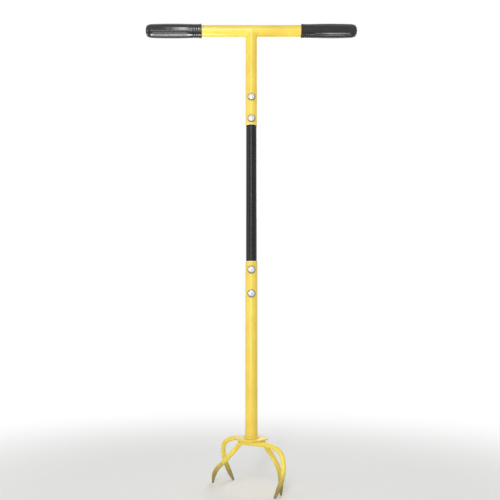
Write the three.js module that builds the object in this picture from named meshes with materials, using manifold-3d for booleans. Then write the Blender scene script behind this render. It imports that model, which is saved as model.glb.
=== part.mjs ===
// Twist tiller: a T-handled garden hand tool with a bolted three-piece shaft and a four-tine claw.
// Millimetres, +Z up. The origin is on the ground under the shaft's axis, where the tine tips stand.
// The crossbar runs along X and the bolt heads face -Y.
import * as THREE from 'three';
import { mergeVertices } from 'three/addons/utils/BufferGeometryUtils.js';
import Module from 'manifold-3d';

const wasm = await Module();
wasm.setup();

// Fits and fineness shared by the whole tool
const pieceGap = 0.3; // clearance between pieces that rest on, slide in or are welded to each other
const cutOverrun = 3; // how far a cutting shape runs past the faces that it cuts
const mergeTolerance = 0.0005;
const edgeChamfer = 0.3;
const tubeSides = 36;
const finePartSides = 40;
const smallSides = 20;
const barSides = 12;
const beadSides = 10;
const domeSteps = 5;

// Shaft tubes: the middle one slides into the other two
const tubeDiameter = 25;
const tubeWall = 1;
const middleTubeWall = 1.2;
const lowerTubeLength = 356.5; // base plate to the lower tube's open end
const exposedMiddleLength = 289.5; // bare middle tube between the two outer ones
const stemLength = 211.5; // handle stem's open end to the crossbar's axis
const middleTubeEndMargin = 15; // middle tube beyond its end bolts

// Handle crossbar and its grips
const handleSpan = 456; // over both grips
const gripLength = 121;
const gripEndWall = 3.5;
const gripBodyDiameter = 30.6;
const gripNeckDiameter = 29.4;
const gripEndDiameter = 29;
const gripFlangeDiameter = 32;
const gripFlangeWidth = 3.6;
const gripFlangeLip = 0.8;
const gripDomeLength = 13;
const gripNeckLength = 24;
const gripGrooveCount = 3;
const gripGroovePitch = 4.6;
const gripGrooveWidth = 1.6;
const gripGrooveDepth = 0.8;
const gripFluteCount = 14;
const gripFluteDepth = 0.45;
const gripFluteFade = 9; // length over which the flutes run out at either end
const gripDomeFlatShare = 0.42; // flat part of the closed end, as a share of its radius
const gripBodySteps = 5;
const samplesPerFlute = 3;

// Bolted joints: two carriage bolts through each overlap
const handleBoltEdge = 13; // handle stem's open end to its nearer bolt
const handleBoltSpacing = 47;
const footBoltEdge = 18; // lower tube's open end to its nearer bolt
const footBoltSpacing = 49;
const boltDiameter = 6;
const boltEndOverhang = 1.5; // thread that stands out of the nut
const boltHeadDiameter = 16;
const boltHeadHeight = 3.9;
const boltHeadRim = 0.9;
const boltNeckSide = 6;
const boltNeckLength = 3.4;
const boltEndChamfer = 0.7;
const washerDiameter = 12;
const washerThickness = 1.6;
const nutAcrossFlats = 10;
const nutHexHeight = 4.6;
const nutCollarHeight = 1.4;
const nutCollarDiameter = 8.6;
const nutChamfer = 0.5;

// Claw: a round plate with two bent bars, whose four ends are the tines
const clawHeight = 100; // ground to the plate's top face
const plateDiameter = 68;
const plateThickness = 3;
const plateChamfer = 0.6;
const tineBarDiameter = 9.5;
const clawRadius = 94; // furthest centre line of a tine from the shaft's axis
const tineTipLength = 26;
const tineTipDiameter = 3.6;
const tineSteps = 56;

// Weld beads
const handleWeldLeg = 4.2;
const handleWeldSweep = 140; // degrees round the stem on each side
const handleWeldSteps = 16;
const footWeldLeg = 4;
const footWeldHollowShare = 0.36; // depth of the bead's hollow face, as a share of its leg
const barWeldDiameter = 6.5;
const barWeldLength = 36;
const barWeldTaperShare = 0.9; // how far towards a point the bead's ends run
const barWeldSteps = 14;

// Way of each bar, from the tip of its sloping tine to the tip of its arched tine. Each row is a
// share of the claw's radius to the right, a share of it away from the front and a share of the drop
// to the ground. The rear bar's way is given as it lies before its half turn about the shaft.
const frontBarWayShares = [
  [-0.852, 0.523, 1],
  [-0.824, 0.484, 0.826],
  [-0.769, 0.426, 0.695],
  [-0.681, 0.335, 0.577],
  [-0.571, 0.213, 0.452],
  [-0.46, 0.08, 0.31],
  [-0.332, -0.032, 0.147],
  [-0.221, -0.115, 0.014],
  [-0.054, -0.202, 0],
  [0.152, -0.311, 0],
  [0.389, -0.45, 0.009],
  [0.585, -0.565, 0.113],
  [0.651, -0.681, 0.339],
  [0.619, -0.754, 0.616],
  [0.538, -0.765, 0.837],
  [0.462, -0.747, 1],
];
const rearBarWayShares = [
  [-0.603, 0.523, 1],
  [-0.609, 0.484, 0.826],
  [-0.604, 0.426, 0.695],
  [-0.587, 0.335, 0.577],
  [-0.541, 0.213, 0.452],
  [-0.452, 0.08, 0.31],
  [-0.332, -0.032, 0.147],
  [-0.221, -0.115, 0.014],
  [-0.054, -0.202, 0],
  [0.152, -0.311, 0],
  [0.389, -0.45, 0.009],
  [0.582, -0.565, 0.113],
  [0.63, -0.681, 0.339],
  [0.572, -0.754, 0.616],
  [0.481, -0.765, 0.837],
  [0.399, -0.747, 1],
];

// Finishes
const yellowCoat = { color: 0xf4d14a, roughness: 0.38, metalness: 0 };
const blackCoat = { color: 0x2e2f31, roughness: 0.42, metalness: 0 };
const gripVinyl = { color: 0x3f3f41, roughness: 0.45, metalness: 0 };
const zincPlate = { color: 0xd9dbe0, roughness: 0.24, metalness: 1 };

// Values worked out from the sizes above
const tubeRadius = tubeDiameter / 2;
const boreRadius = tubeRadius - tubeWall;
const middleRadius = boreRadius - pieceGap;
const barRadius = tineBarDiameter / 2;
const plateBottom = clawHeight - plateThickness;
const barSeatHeight = plateBottom - pieceGap - barRadius;
const lowerTubeTop = clawHeight + lowerTubeLength;
const stemBottom = lowerTubeTop + exposedMiddleLength;
const crossbarHeight = stemBottom + stemLength;
const crossbarLength = handleSpan - 2 * (gripEndWall + pieceGap);
const gripStart = handleSpan / 2 - gripLength;
const boltHeights = {
  handle_upper: stemBottom + handleBoltEdge + handleBoltSpacing,
  handle_lower: stemBottom + handleBoltEdge,
  foot_upper: lowerTubeTop - footBoltEdge,
  foot_lower: lowerTubeTop - footBoltEdge - footBoltSpacing,
};
const middleTubeTop = boltHeights.handle_upper + middleTubeEndMargin;
const middleTubeBottom = boltHeights.foot_lower - middleTubeEndMargin;
const headSeat = -tubeRadius - pieceGap;
const washerSeat = tubeRadius + pieceGap;
const nutSeat = washerSeat + washerThickness + pieceGap;
const nutHeight = nutHexHeight + nutCollarHeight;
const boltLength = nutSeat + nutHeight + boltEndOverhang - headSeat;
const boltHoleRadius = boltDiameter / 2 + pieceGap;
const neckHoleSide = boltNeckSide + 2 * pieceGap;

// A closed geometry with its faces turned outwards
function facingOut(geometry) {
  const position = geometry.attributes.position;
  const index = geometry.index;
  const corners = [new THREE.Vector3(), new THREE.Vector3(), new THREE.Vector3()];
  let volume = 0;
  for (let i = 0; i < index.count; i += 3) {
    corners.forEach((corner, k) => corner.fromBufferAttribute(position, index.getX(i + k)));
    volume += corners[0].dot(corners[1].clone().cross(corners[2]));
  }
  if (volume < 0) {
    for (let i = 0; i < index.count; i += 3) {
      const first = index.getX(i);
      index.setX(i, index.getX(i + 1));
      index.setX(i + 1, first);
    }
  }
  return geometry;
}

// The solid inside a closed geometry, for cuts and joins
function solid(geometry) {
  const bare = geometry.clone();
  bare.deleteAttribute('normal');
  bare.deleteAttribute('uv');
  const merged = facingOut(mergeVertices(bare, mergeTolerance));
  const vertProperties = Float32Array.from(merged.attributes.position.array);
  const triVerts = Uint32Array.from(merged.index.array);
  return new wasm.Manifold(new wasm.Mesh({ numProp: 3, vertProperties, triVerts }));
}

// The geometry of a solid
function geometryOf(body) {
  const mesh = body.getMesh();
  const geometry = new THREE.BufferGeometry();
  geometry.setAttribute('position', new THREE.BufferAttribute(mesh.vertProperties, 3));
  geometry.setIndex(new THREE.BufferAttribute(mesh.triVerts, 1));
  geometry.computeVertexNormals();
  return geometry;
}

// A profile of [radius, height] pairs turned about Z
function turned(profile, sides) {
  const points = profile.map(([radius, height]) => new THREE.Vector2(radius, height));
  return new THREE.LatheGeometry(points, sides).rotateX(Math.PI / 2);
}

// A round bar along Z from one height to another
function roundBar(radius, from, to, sides) {
  const length = to - from;
  return new THREE.CylinderGeometry(radius, radius, length, sides)
    .rotateX(Math.PI / 2)
    .translate(0, 0, (from + to) / 2);
}

// A tube along Z with small chamfers on its end edges
function tube(outer, wall, from, to) {
  const inner = outer - wall;
  return turned([
    [inner, from],
    [outer - edgeChamfer, from],
    [outer, from + edgeChamfer],
    [outer, to - edgeChamfer],
    [outer - edgeChamfer, to],
    [inner, to],
    [inner, from],
  ], tubeSides);
}

// A closed skin over rings of points, each ring with the same count, with a fan over both end rings
function loft(rings) {
  const sides = rings[0].length;
  const positions = rings.flat().flatMap((point) => point.toArray());
  const faces = [];
  for (let ring = 0; ring + 1 < rings.length; ring += 1) {
    for (let side = 0; side < sides; side += 1) {
      const a = ring * sides + side;
      const b = ring * sides + (side + 1) % sides;
      faces.push(a, b, a + sides, b, b + sides, a + sides);
    }
  }
  for (const [ring, turn] of [[0, 1], [rings.length - 1, 0]]) {
    const middle = new THREE.Vector3();
    rings[ring].forEach((point) => middle.addScaledVector(point, 1 / sides));
    const tip = positions.length / 3;
    positions.push(...middle.toArray());
    for (let side = 0; side < sides; side += 1) {
      const a = ring * sides + side;
      const b = ring * sides + (side + 1) % sides;
      faces.push(...(turn ? [b, a, tip] : [a, b, tip]));
    }
  }
  const geometry = new THREE.BufferGeometry();
  geometry.setAttribute('position', new THREE.Float32BufferAttribute(positions, 3));
  geometry.setIndex(faces);
  return facingOut(geometry);
}

// The centre line of a tine bar
function tineBarCurve(wayShares) {
  const points = wayShares.map(([across, away, drop]) => (
    new THREE.Vector3(clawRadius * across, clawRadius * away, barSeatHeight * (1 - drop))
  ));
  return new THREE.CatmullRomCurve3(points, false, 'centripetal');
}

// A bar along a curve, drawn down to a blunt point at both ends
function taperedBar(curve, radius, steps) {
  const length = curve.getLength();
  const frames = curve.computeFrenetFrames(steps, false);
  const rings = [];
  for (let step = 0; step <= steps; step += 1) {
    const share = step / steps;
    const centre = curve.getPointAt(share);
    const toEnd = Math.min(share, 1 - share) * length;
    const fullness = Math.sin(Math.min(toEnd / tineTipLength, 1) * Math.PI / 2);
    const ringRadius = THREE.MathUtils.lerp(tineTipDiameter / 2, radius, fullness);
    const ring = [];
    for (let side = 0; side < barSides; side += 1) {
      const angle = side / barSides * 2 * Math.PI;
      const point = centre.clone();
      point.addScaledVector(frames.normals[step], ringRadius * Math.cos(angle));
      point.addScaledVector(frames.binormals[step], ringRadius * Math.sin(angle));
      ring.push(point);
    }
    rings.push(ring);
  }
  return loft(rings);
}

// A plate from one height up to another, wide enough to cut anything in the claw
function cuttingSlab(from, to) {
  const width = 2 * (clawRadius + plateDiameter);
  return solid(new THREE.BoxGeometry(width, width, to - from).translate(0, 0, (from + to) / 2));
}

// The holes of one outer or inner shaft tube: square in front for the bolt's neck, round behind
function cutBoltHoles(body, heights) {
  let result = body;
  for (const height of heights) {
    const depth = tubeRadius + cutOverrun;
    const neck = new THREE.BoxGeometry(neckHoleSide, depth, neckHoleSide).translate(0, -depth / 2, 0);
    const shank = roundBar(boltHoleRadius, -depth, 0, smallSides).rotateX(Math.PI / 2);
    result = result.subtract(solid(neck.translate(0, 0, height)));
    result = result.subtract(solid(shank.translate(0, 0, height)));
  }
  return result;
}

// The round bar that stands for the crossbar in cuts, along X at the crossbar's height
function crossbarBar(radius, length) {
  return roundBar(radius, -length / 2, length / 2, tubeSides)
    .rotateY(Math.PI / 2)
    .translate(0, 0, crossbarHeight);
}

function crossbarTube() {
  return tube(tubeRadius, tubeWall, -crossbarLength / 2, crossbarLength / 2)
    .rotateY(Math.PI / 2)
    .translate(0, 0, crossbarHeight);
}

// The stem is coped at its top to fit round the crossbar
function handleStemTube() {
  const stem = solid(tube(tubeRadius, tubeWall, stemBottom, crossbarHeight));
  const cope = solid(crossbarBar(tubeRadius + pieceGap, 2 * (tubeDiameter + cutOverrun)));
  return geometryOf(cutBoltHoles(stem.subtract(cope), [boltHeights.handle_upper, boltHeights.handle_lower]));
}

// A hollow-faced bead in the corner between the stem and the crossbar, on the side that direction
// gives. A ball that touches both tubes rolls round the corner and its path shapes the bead's face.
function handleWeld(direction) {
  const surface = tubeRadius + pieceGap;
  const path = tubeRadius + handleWeldLeg;
  const rings = [];
  for (let step = 0; step <= handleWeldSteps; step += 1) {
    const turn = THREE.MathUtils.degToRad(handleWeldSweep) * (step / handleWeldSteps - 1 / 2);
    const side = Math.cos(turn);
    const front = Math.sin(turn);
    const ball = new THREE.Vector3(direction * path * side, path * front, crossbarHeight - path * side);
    const onStem = new THREE.Vector3(direction * surface * side, surface * front, ball.z);
    const onCrossbar = new THREE.Vector3(ball.x, surface * front, crossbarHeight - surface * side);
    const corner = new THREE.Vector3(onStem.x, onStem.y, onCrossbar.z);
    const reach = onStem.distanceTo(ball);
    const middle = onStem.clone().add(onCrossbar).sub(ball).sub(ball).setLength(reach).add(ball);
    rings.push([corner, onStem, middle, onCrossbar]);
  }
  return loft(rings);
}

function middleTube() {
  const body = solid(tube(middleRadius, middleTubeWall, middleTubeBottom, middleTubeTop));
  return geometryOf(cutBoltHoles(body, Object.values(boltHeights)));
}

function lowerTube() {
  const body = solid(tube(tubeRadius, tubeWall, clawHeight + pieceGap, lowerTubeTop));
  return geometryOf(cutBoltHoles(body, [boltHeights.foot_upper, boltHeights.foot_lower]));
}

// The bead runs round the foot of the lower tube, hollow-faced
function footWeld() {
  const inner = tubeRadius + pieceGap;
  const bottom = clawHeight + pieceGap;
  const hollow = footWeldLeg * footWeldHollowShare;
  return turned([
    [inner, bottom],
    [inner + footWeldLeg, bottom],
    [inner + hollow, bottom + hollow],
    [inner, bottom + footWeldLeg],
    [inner, bottom],
  ], tubeSides);
}

function basePlate() {
  const radius = plateDiameter / 2;
  const clearOfWeld = tubeRadius + pieceGap + footWeldLeg + pieceGap;
  return turned([
    [0, plateBottom],
    [radius - plateChamfer, plateBottom],
    [radius, plateBottom + plateChamfer],
    [radius, clawHeight - plateChamfer],
    [radius - plateChamfer, clawHeight],
    [clearOfWeld, clawHeight],
    [0, clawHeight],
  ], tubeSides);
}

// One tine bar with its tips ground flat where they stand and its seat ground flat under the plate
function tineBar(wayShares) {
  const bar = solid(taperedBar(tineBarCurve(wayShares), barRadius, tineSteps));
  const ground = cuttingSlab(-cutOverrun - tineBarDiameter, 0);
  const seat = solid(roundBar(
    plateDiameter / 2 + pieceGap,
    plateBottom - pieceGap,
    clawHeight + cutOverrun,
    tubeSides,
  ));
  return geometryOf(bar.subtract(ground).subtract(seat));
}

// A bead in the corner between the plate and one side of a bar, along the stretch that passes
// nearest to the shaft's axis
function barWeld(wayShares, side) {
  const curve = tineBarCurve(wayShares);
  const top = plateBottom - pieceGap;
  const length = curve.getLength();
  const shares = Array.from({ length: tineSteps + 1 }, (_, step) => step / tineSteps);
  const offAxis = (share) => Math.hypot(curve.getPointAt(share).x, curve.getPointAt(share).y);
  const nearest = shares.reduce((best, share) => (offAxis(share) < offAxis(best) ? share : best));
  const rings = [];
  for (let step = 0; step <= barWeldSteps; step += 1) {
    const along = barWeldLength * (step / barWeldSteps - 1 / 2);
    const share = nearest + along / length;
    const heading = curve.getTangentAt(share).setZ(0).normalize();
    const across = new THREE.Vector3(heading.y, -heading.x, 0);
    const centre = curve.getPointAt(share).addScaledVector(across, side * barRadius).setZ(top);
    const toMiddle = 2 * step / barWeldSteps - 1;
    const radius = barWeldDiameter / 2 * Math.sqrt(1 - (toMiddle * barWeldTaperShare) ** 2);
    const ring = [];
    for (let corner = 0; corner < beadSides; corner += 1) {
      const angle = corner / beadSides * 2 * Math.PI;
      const point = centre.clone().addScaledVector(across, radius * Math.cos(angle));
      ring.push(point.setZ(top + radius * Math.sin(angle)));
    }
    rings.push(ring);
  }
  const wideBar = solid(taperedBar(curve, barRadius + pieceGap, tineSteps));
  const above = cuttingSlab(top, clawHeight + cutOverrun);
  return geometryOf(solid(loft(rings)).subtract(above).subtract(wideBar));
}

// A vinyl grip along X with a closed round end, an end flange, ring grooves and shallow flutes
function grip(direction) {
  const bore = tubeRadius + pieceGap;
  const end = gripStart + gripLength;
  const flangeEnd = gripStart + gripFlangeWidth;
  const neckEnd = flangeEnd + gripNeckLength;
  const domeStart = end - gripDomeLength;
  const stations = [
    [gripStart, bore],
    [gripStart, gripFlangeDiameter / 2 - gripFlangeLip],
    [gripStart + gripFlangeLip, gripFlangeDiameter / 2],
    [flangeEnd - gripFlangeLip, gripFlangeDiameter / 2],
    [flangeEnd, gripNeckDiameter / 2],
  ];
  for (let groove = 0; groove < gripGrooveCount; groove += 1) {
    const middle = flangeEnd + gripGroovePitch * (groove + 1);
    stations.push([middle - gripGrooveWidth / 2, gripNeckDiameter / 2]);
    stations.push([middle, gripNeckDiameter / 2 - gripGrooveDepth]);
    stations.push([middle + gripGrooveWidth / 2, gripNeckDiameter / 2]);
  }
  stations.push([neckEnd, gripNeckDiameter / 2]);
  for (let step = 1; step <= gripBodySteps; step += 1) {
    const share = step / gripBodySteps;
    const plain = THREE.MathUtils.lerp(gripNeckDiameter, gripEndDiameter, share);
    const swell = (gripBodyDiameter - gripNeckDiameter) * Math.sin(Math.PI * share);
    stations.push([THREE.MathUtils.lerp(neckEnd, domeStart, share), (plain + swell) / 2]);
  }
  for (let step = 1; step <= domeSteps; step += 1) {
    const turn = step / domeSteps * Math.PI / 2;
    const along = domeStart + gripDomeLength * Math.sin(turn);
    const roundness = THREE.MathUtils.lerp(gripDomeFlatShare, 1, Math.cos(turn));
    stations.push([along, gripEndDiameter / 2 * roundness]);
  }
  const fluted = (along) => {
    const inside = Math.min(along - neckEnd, domeStart - along);
    return THREE.MathUtils.smoothstep(inside, -gripFluteFade, gripFluteFade);
  };
  const sides = gripFluteCount * samplesPerFlute;
  const ringAt = ([along, radius], depth) => {
    const ring = [];
    for (let side = 0; side < sides; side += 1) {
      const angle = side / sides * 2 * Math.PI;
      const flute = depth * (1 - Math.cos(gripFluteCount * angle)) / 2;
      const reach = radius - flute;
      const height = crossbarHeight + reach * Math.sin(angle);
      ring.push(new THREE.Vector3(direction * along, reach * Math.cos(angle), height));
    }
    return ring;
  };
  const bottom = end - gripEndWall;
  const rings = [ringAt([bottom, bore], 0)];
  for (const station of stations) {
    rings.push(ringAt(station, gripFluteDepth * fluted(station[0])));
  }
  return loft(rings);
}

// A carriage bolt along Y: domed head in front, square neck, plain shank and a chamfered end
function carriageBolt(height) {
  const headRadius = boltHeadDiameter / 2;
  const shankRadius = boltDiameter / 2;
  const dome = boltHeadHeight - boltHeadRim;
  const domeRadius = (headRadius ** 2 + dome ** 2) / (2 * dome);
  const spread = Math.asin(headRadius / domeRadius);
  const profile = [[0, 0], [headRadius, 0]];
  for (let step = 0; step <= domeSteps; step += 1) {
    const angle = spread * (1 - step / domeSteps);
    const rise = boltHeadRim + dome - domeRadius * (1 - Math.cos(angle));
    profile.push([domeRadius * Math.sin(angle), -rise]);
  }
  const head = solid(turned(profile, smallSides));
  const neckDepth = boltNeckLength + boltHeadRim;
  const neck = new THREE.BoxGeometry(boltNeckSide, boltNeckSide, neckDepth);
  neck.translate(0, 0, boltNeckLength - neckDepth / 2);
  const shank = turned([
    [0, -boltHeadRim],
    [shankRadius, -boltHeadRim],
    [shankRadius, boltLength - boltEndChamfer],
    [shankRadius - boltEndChamfer, boltLength],
    [0, boltLength],
  ], smallSides);
  const body = geometryOf(head.add(solid(neck)).add(solid(shank)));
  return body.rotateX(-Math.PI / 2).translate(0, headSeat, height);
}

function washer(height) {
  const inner = boltHoleRadius;
  const outer = washerDiameter / 2;
  return turned([
    [inner, 0],
    [outer, 0],
    [outer, washerThickness],
    [inner, washerThickness],
    [inner, 0],
  ], smallSides).rotateX(-Math.PI / 2).translate(0, washerSeat, height);
}

// A lock nut: a chamfered hexagon with a round collar on its outer face
function lockNut(height) {
  const cornerRadius = nutAcrossFlats / Math.sqrt(3);
  const hexagonSides = 6;
  const hexagon = solid(roundBar(cornerRadius, 0, nutHexHeight, hexagonSides));
  const rounding = solid(turned([
    [0, 0],
    [cornerRadius - nutChamfer, 0],
    [cornerRadius, nutChamfer],
    [cornerRadius, nutHexHeight - nutChamfer],
    [cornerRadius - nutChamfer, nutHexHeight],
    [0, nutHexHeight],
  ], finePartSides));
  const collarRadius = nutCollarDiameter / 2;
  const collar = solid(turned([
    [0, nutHexHeight - nutChamfer],
    [collarRadius, nutHexHeight - nutChamfer],
    [collarRadius, nutHeight - edgeChamfer],
    [collarRadius - edgeChamfer, nutHeight],
    [0, nutHeight],
  ], smallSides));
  const bore = solid(roundBar(boltHoleRadius, -cutOverrun, nutHeight + cutOverrun, smallSides));
  const body = geometryOf(hexagon.intersect(rounding).add(collar).subtract(bore));
  return body.rotateX(-Math.PI / 2).translate(0, nutSeat, height);
}

const tool = new THREE.Group();

function add(name, geometry, finish, parent = tool) {
  const mesh = new THREE.Mesh(geometry, new THREE.MeshStandardMaterial(finish));
  mesh.name = name;
  parent.add(mesh);
}

add('crossbar_tube', crossbarTube(), yellowCoat);
add('handle_stem_tube', handleStemTube(), yellowCoat);
add('left_handle_weld', handleWeld(-1), yellowCoat);
add('right_handle_weld', handleWeld(1), yellowCoat);
add('left_grip', grip(-1), gripVinyl);
add('right_grip', grip(1), gripVinyl);
add('middle_tube', middleTube(), blackCoat);
add('lower_tube', lowerTube(), yellowCoat);
add('foot_weld', footWeld(), yellowCoat);
add('base_plate', basePlate(), yellowCoat);

// The rear tine bar lies half a turn round the shaft from the front one
const barPlaces = [['front', frontBarWayShares, 0], ['rear', rearBarWayShares, Math.PI]];
for (const [place, wayShares, turn] of barPlaces) {
  const half = new THREE.Group();
  half.rotation.z = turn;
  tool.add(half);
  add(`${place}_tine_bar`, tineBar(wayShares), yellowCoat, half);
  add(`${place}_bar_outer_weld`, barWeld(wayShares, 1), yellowCoat, half);
  add(`${place}_bar_inner_weld`, barWeld(wayShares, -1), yellowCoat, half);
}

for (const [place, height] of Object.entries(boltHeights)) {
  add(`${place}_bolt`, carriageBolt(height), zincPlate);
  add(`${place}_washer`, washer(height), zincPlate);
  add(`${place}_nut`, lockNut(height), zincPlate);
}

export default tool;
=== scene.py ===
"""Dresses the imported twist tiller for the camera.

The tool is a T-handled garden tiller: a crossbar with two vinyl grips, a shaft of three bolted
tubes and a round plate that carries a claw of bent tines. Sizes are in millimetres until a mesh is
made; Blender's objects are in metres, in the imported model's frame, with the tine tips on z = 0.
"""
import logging
import math
from collections.abc import Callable, Iterable, Sequence
from dataclasses import dataclass, field, replace
from enum import Enum
from functools import partial

import bmesh
import bpy
from mathutils import Matrix, Vector


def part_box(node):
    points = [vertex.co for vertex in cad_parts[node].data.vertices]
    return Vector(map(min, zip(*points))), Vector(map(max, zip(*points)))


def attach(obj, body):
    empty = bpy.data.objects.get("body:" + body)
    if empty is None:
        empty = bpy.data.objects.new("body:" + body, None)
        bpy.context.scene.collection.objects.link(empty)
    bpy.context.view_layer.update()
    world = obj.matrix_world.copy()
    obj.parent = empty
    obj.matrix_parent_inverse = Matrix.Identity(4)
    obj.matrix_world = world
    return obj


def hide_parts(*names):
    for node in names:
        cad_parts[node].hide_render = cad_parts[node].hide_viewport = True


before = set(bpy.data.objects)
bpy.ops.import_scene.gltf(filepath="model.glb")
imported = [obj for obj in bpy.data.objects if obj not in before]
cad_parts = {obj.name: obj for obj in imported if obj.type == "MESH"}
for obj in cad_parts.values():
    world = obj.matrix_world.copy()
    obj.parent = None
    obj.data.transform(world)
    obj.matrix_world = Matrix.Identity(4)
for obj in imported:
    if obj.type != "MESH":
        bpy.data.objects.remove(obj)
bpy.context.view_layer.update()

LOG = logging.getLogger("twist_tiller")
TOOL_BODY = "tiller"
MM = 0.001
FULL_TURN = 2 * math.pi
MERGE_DISTANCE = 2e-6
# A ring with a smaller radius than this, in millimetres, is a point on the axis.
ON_AXIS = 0.001
SMALLEST_STEP = 1e-9
# An edge stays sharp where its faces meet at more than this angle, in degrees. Small rounds have
# facets that meet at more, so the pieces that have them are given the wider angle.
SHARP_ANGLE = 38.0
ROUND_SHARP_ANGLE = 50.0

Mesh = bpy.types.Mesh
Node = bpy.types.Node
Tree = bpy.types.NodeTree
Material = bpy.types.Material
Pair = tuple[float, float]
Place = tuple[float, float, float]


class Axis(Enum):
    """Way that a turned part comes to point: degrees and axis of the turn that takes +Z there."""

    RIGHT = (90, "Y")
    LEFT = (-90, "Y")
    BACK = (-90, "X")

    def turn(self) -> Matrix:
        """Rotation that takes +Z to this way."""
        degrees, about = self.value
        return Matrix.Rotation(math.radians(degrees), 4, about)


class Side(Enum):
    """Side of the shaft, as seen by the camera."""

    LEFT = -1
    RIGHT = 1

    @property
    def label(self) -> str:
        """The side as the names of pieces say it."""
        return self.name.lower()


class Slot(Enum):
    """Material slots."""

    YELLOW = "yellow_powder_coat"
    TINE = "yellow_tine_coat"
    BLACK = "black_powder_coat"
    VINYL = "black_vinyl"
    ZINC = "zinc_plate"


class Joining(Enum):
    """How other closed shapes change a closed shape."""

    CUT = "DIFFERENCE"
    UNITE = "UNION"


# ---------------------------------------------------------------------------- shared helpers


def packed_span(node: str, axis: int) -> Pair:
    """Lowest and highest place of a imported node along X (0), Y (1) or Z (2), in millimetres."""
    low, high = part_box(node)
    return low[axis] / MM, high[axis] / MM


def mix(start: float, end: float, share: float) -> float:
    """The value that lies the given share of the way from start to end."""
    return start + (end - start) * share


def smooth_step(value: float) -> float:
    """Eases a share from 0 to 1, flat at both ends."""
    share = min(max(value, 0.0), 1.0)
    return share * share * (3 - 2 * share)


def circle_points(radius: float, height: float, sides: int) -> list[Vector]:
    """Points round the Z axis, anticlockwise from +X."""
    angles = [FULL_TURN * k / sides for k in range(sides)]
    return [Vector((radius * math.cos(turn), radius * math.sin(turn), height)) for turn in angles]


@dataclass
class Skin:
    """A closed mesh in the making, in millimetres, from rings of points."""

    points: list[Vector] = field(default_factory=list)
    faces: list[tuple[int, ...]] = field(default_factory=list)
    face_finishes: list[int] = field(default_factory=list)

    def add_ring(self, ring: Iterable[Vector]) -> list[int]:
        """Adds the points of one ring.

        Args:
            ring: The points, in order.

        Returns:
            The points' places in the mesh.
        """
        start = len(self.points)
        self.points.extend(ring)
        return list(range(start, len(self.points)))

    def join(self, first: Sequence[int], second: Sequence[int], finish: int) -> None:
        """Joins two rings of one length by quads, or a ring and a single point by triangles.

        Args:
            first: One ring.
            second: The next ring or a list of one point.
            finish: Place of the faces' material in the piece's list.
        """
        count = max(len(first), len(second))
        for k in range(count):
            after = (k + 1) % count
            if len(second) == 1:
                face = (first[k], first[after], second[0])
            elif len(first) == 1:
                face = (first[0], second[after], second[k])
            else:
                face = (first[k], first[after], second[after], second[k])
            self.faces.append(face)
            self.face_finishes.append(finish)

    def loft(
        self, rings: Sequence[Sequence[Vector]], closed: bool = False, finishes: Sequence[int] = ()
    ) -> None:
        """Stretches the skin over rings of points, one after the other.

        Args:
            rings: The rings; a ring of one point closes an end.
            closed: Whether the last ring joins the first one.
            finishes: Material place of each band between two rings.
        """
        placed = [self.add_ring(ring) for ring in rings]
        pairs = list(zip(placed, placed[1:]))
        if closed:
            pairs.append((placed[-1], placed[0]))
        for k, (first, second) in enumerate(pairs):
            self.join(first, second, finishes[k] if k < len(finishes) else 0)

    def mesh(self, name: str, sharp_angle: float = SHARP_ANGLE) -> Mesh:
        """Makes the Blender mesh, in metres, with faces outwards.

        Args:
            name: Name of the mesh.
            sharp_angle: Angle in degrees above which an edge stays sharp.

        Returns:
            The mesh.
        """
        mesh = bpy.data.meshes.new(name)
        mesh.from_pydata([point * MM for point in self.points], [], self.faces)
        mesh.polygons.foreach_set("material_index", self.face_finishes)
        tidy_mesh(mesh, sharp_angle)
        return mesh


def tidy_mesh(mesh: Mesh, sharp_angle: float) -> None:
    """Merges doubled points, turns the faces outwards and smooths the mesh.

    Args:
        mesh: The mesh to tidy.
        sharp_angle: Angle in degrees above which an edge stays sharp.
    """
    work = bmesh.new()
    work.from_mesh(mesh)
    bmesh.ops.remove_doubles(work, verts=work.verts, dist=MERGE_DISTANCE)
    bmesh.ops.dissolve_degenerate(work, edges=work.edges, dist=MERGE_DISTANCE)
    bmesh.ops.recalc_face_normals(work, faces=work.faces)
    work.to_mesh(mesh)
    work.free()
    mesh.shade_smooth()
    mesh.set_sharp_from_angle(angle=math.radians(sharp_angle))


def turned_mesh(
    name: str, profile: Sequence[Pair], sides: int, sharp_angle: float = SHARP_ANGLE
) -> Mesh:
    """Turns a profile about the Z axis.

    Args:
        name: Name of the mesh.
        profile: Pairs of radius and height. It closes on itself unless both ends are on the axis.
        sides: Number of faces round the axis.
        sharp_angle: Angle in degrees above which an edge stays sharp.

    Returns:
        The mesh, in metres, on its own axis.
    """
    skin = Skin()
    rings = [
        [Vector((0, 0, height))] if radius < ON_AXIS else circle_points(radius, height, sides)
        for radius, height in profile
    ]
    skin.loft(rings, closed=profile[0][0] >= ON_AXIS)
    return skin.mesh(name, sharp_angle)


def rounded_corner(centre: Pair, start_angle: float, radius: float, steps: int = 4) -> list[Pair]:
    """Profile points of a quarter circle, anticlockwise from an angle in degrees."""
    turns = [math.radians(start_angle + 90 * k / steps) for k in range(steps + 1)]
    return [(centre[0] + radius * math.cos(t), centre[1] + radius * math.sin(t)) for t in turns]


def lay(mesh: Mesh, place: Place, axis: Axis) -> Mesh:
    """Turns a mesh's +Z to another way, then moves its origin to a place in millimetres."""
    mesh.transform(Matrix.Translation([value * MM for value in place]) @ axis.turn())
    return mesh


def linked_object(name: str, data: bpy.types.ID) -> bpy.types.Object:
    """Makes an object in the scene.

    Args:
        name: Name of the object.
        data: Its mesh, lamp or camera.

    Returns:
        The object.
    """
    thing = bpy.data.objects.new(name, data)
    bpy.context.scene.collection.objects.link(thing)
    return thing


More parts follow.
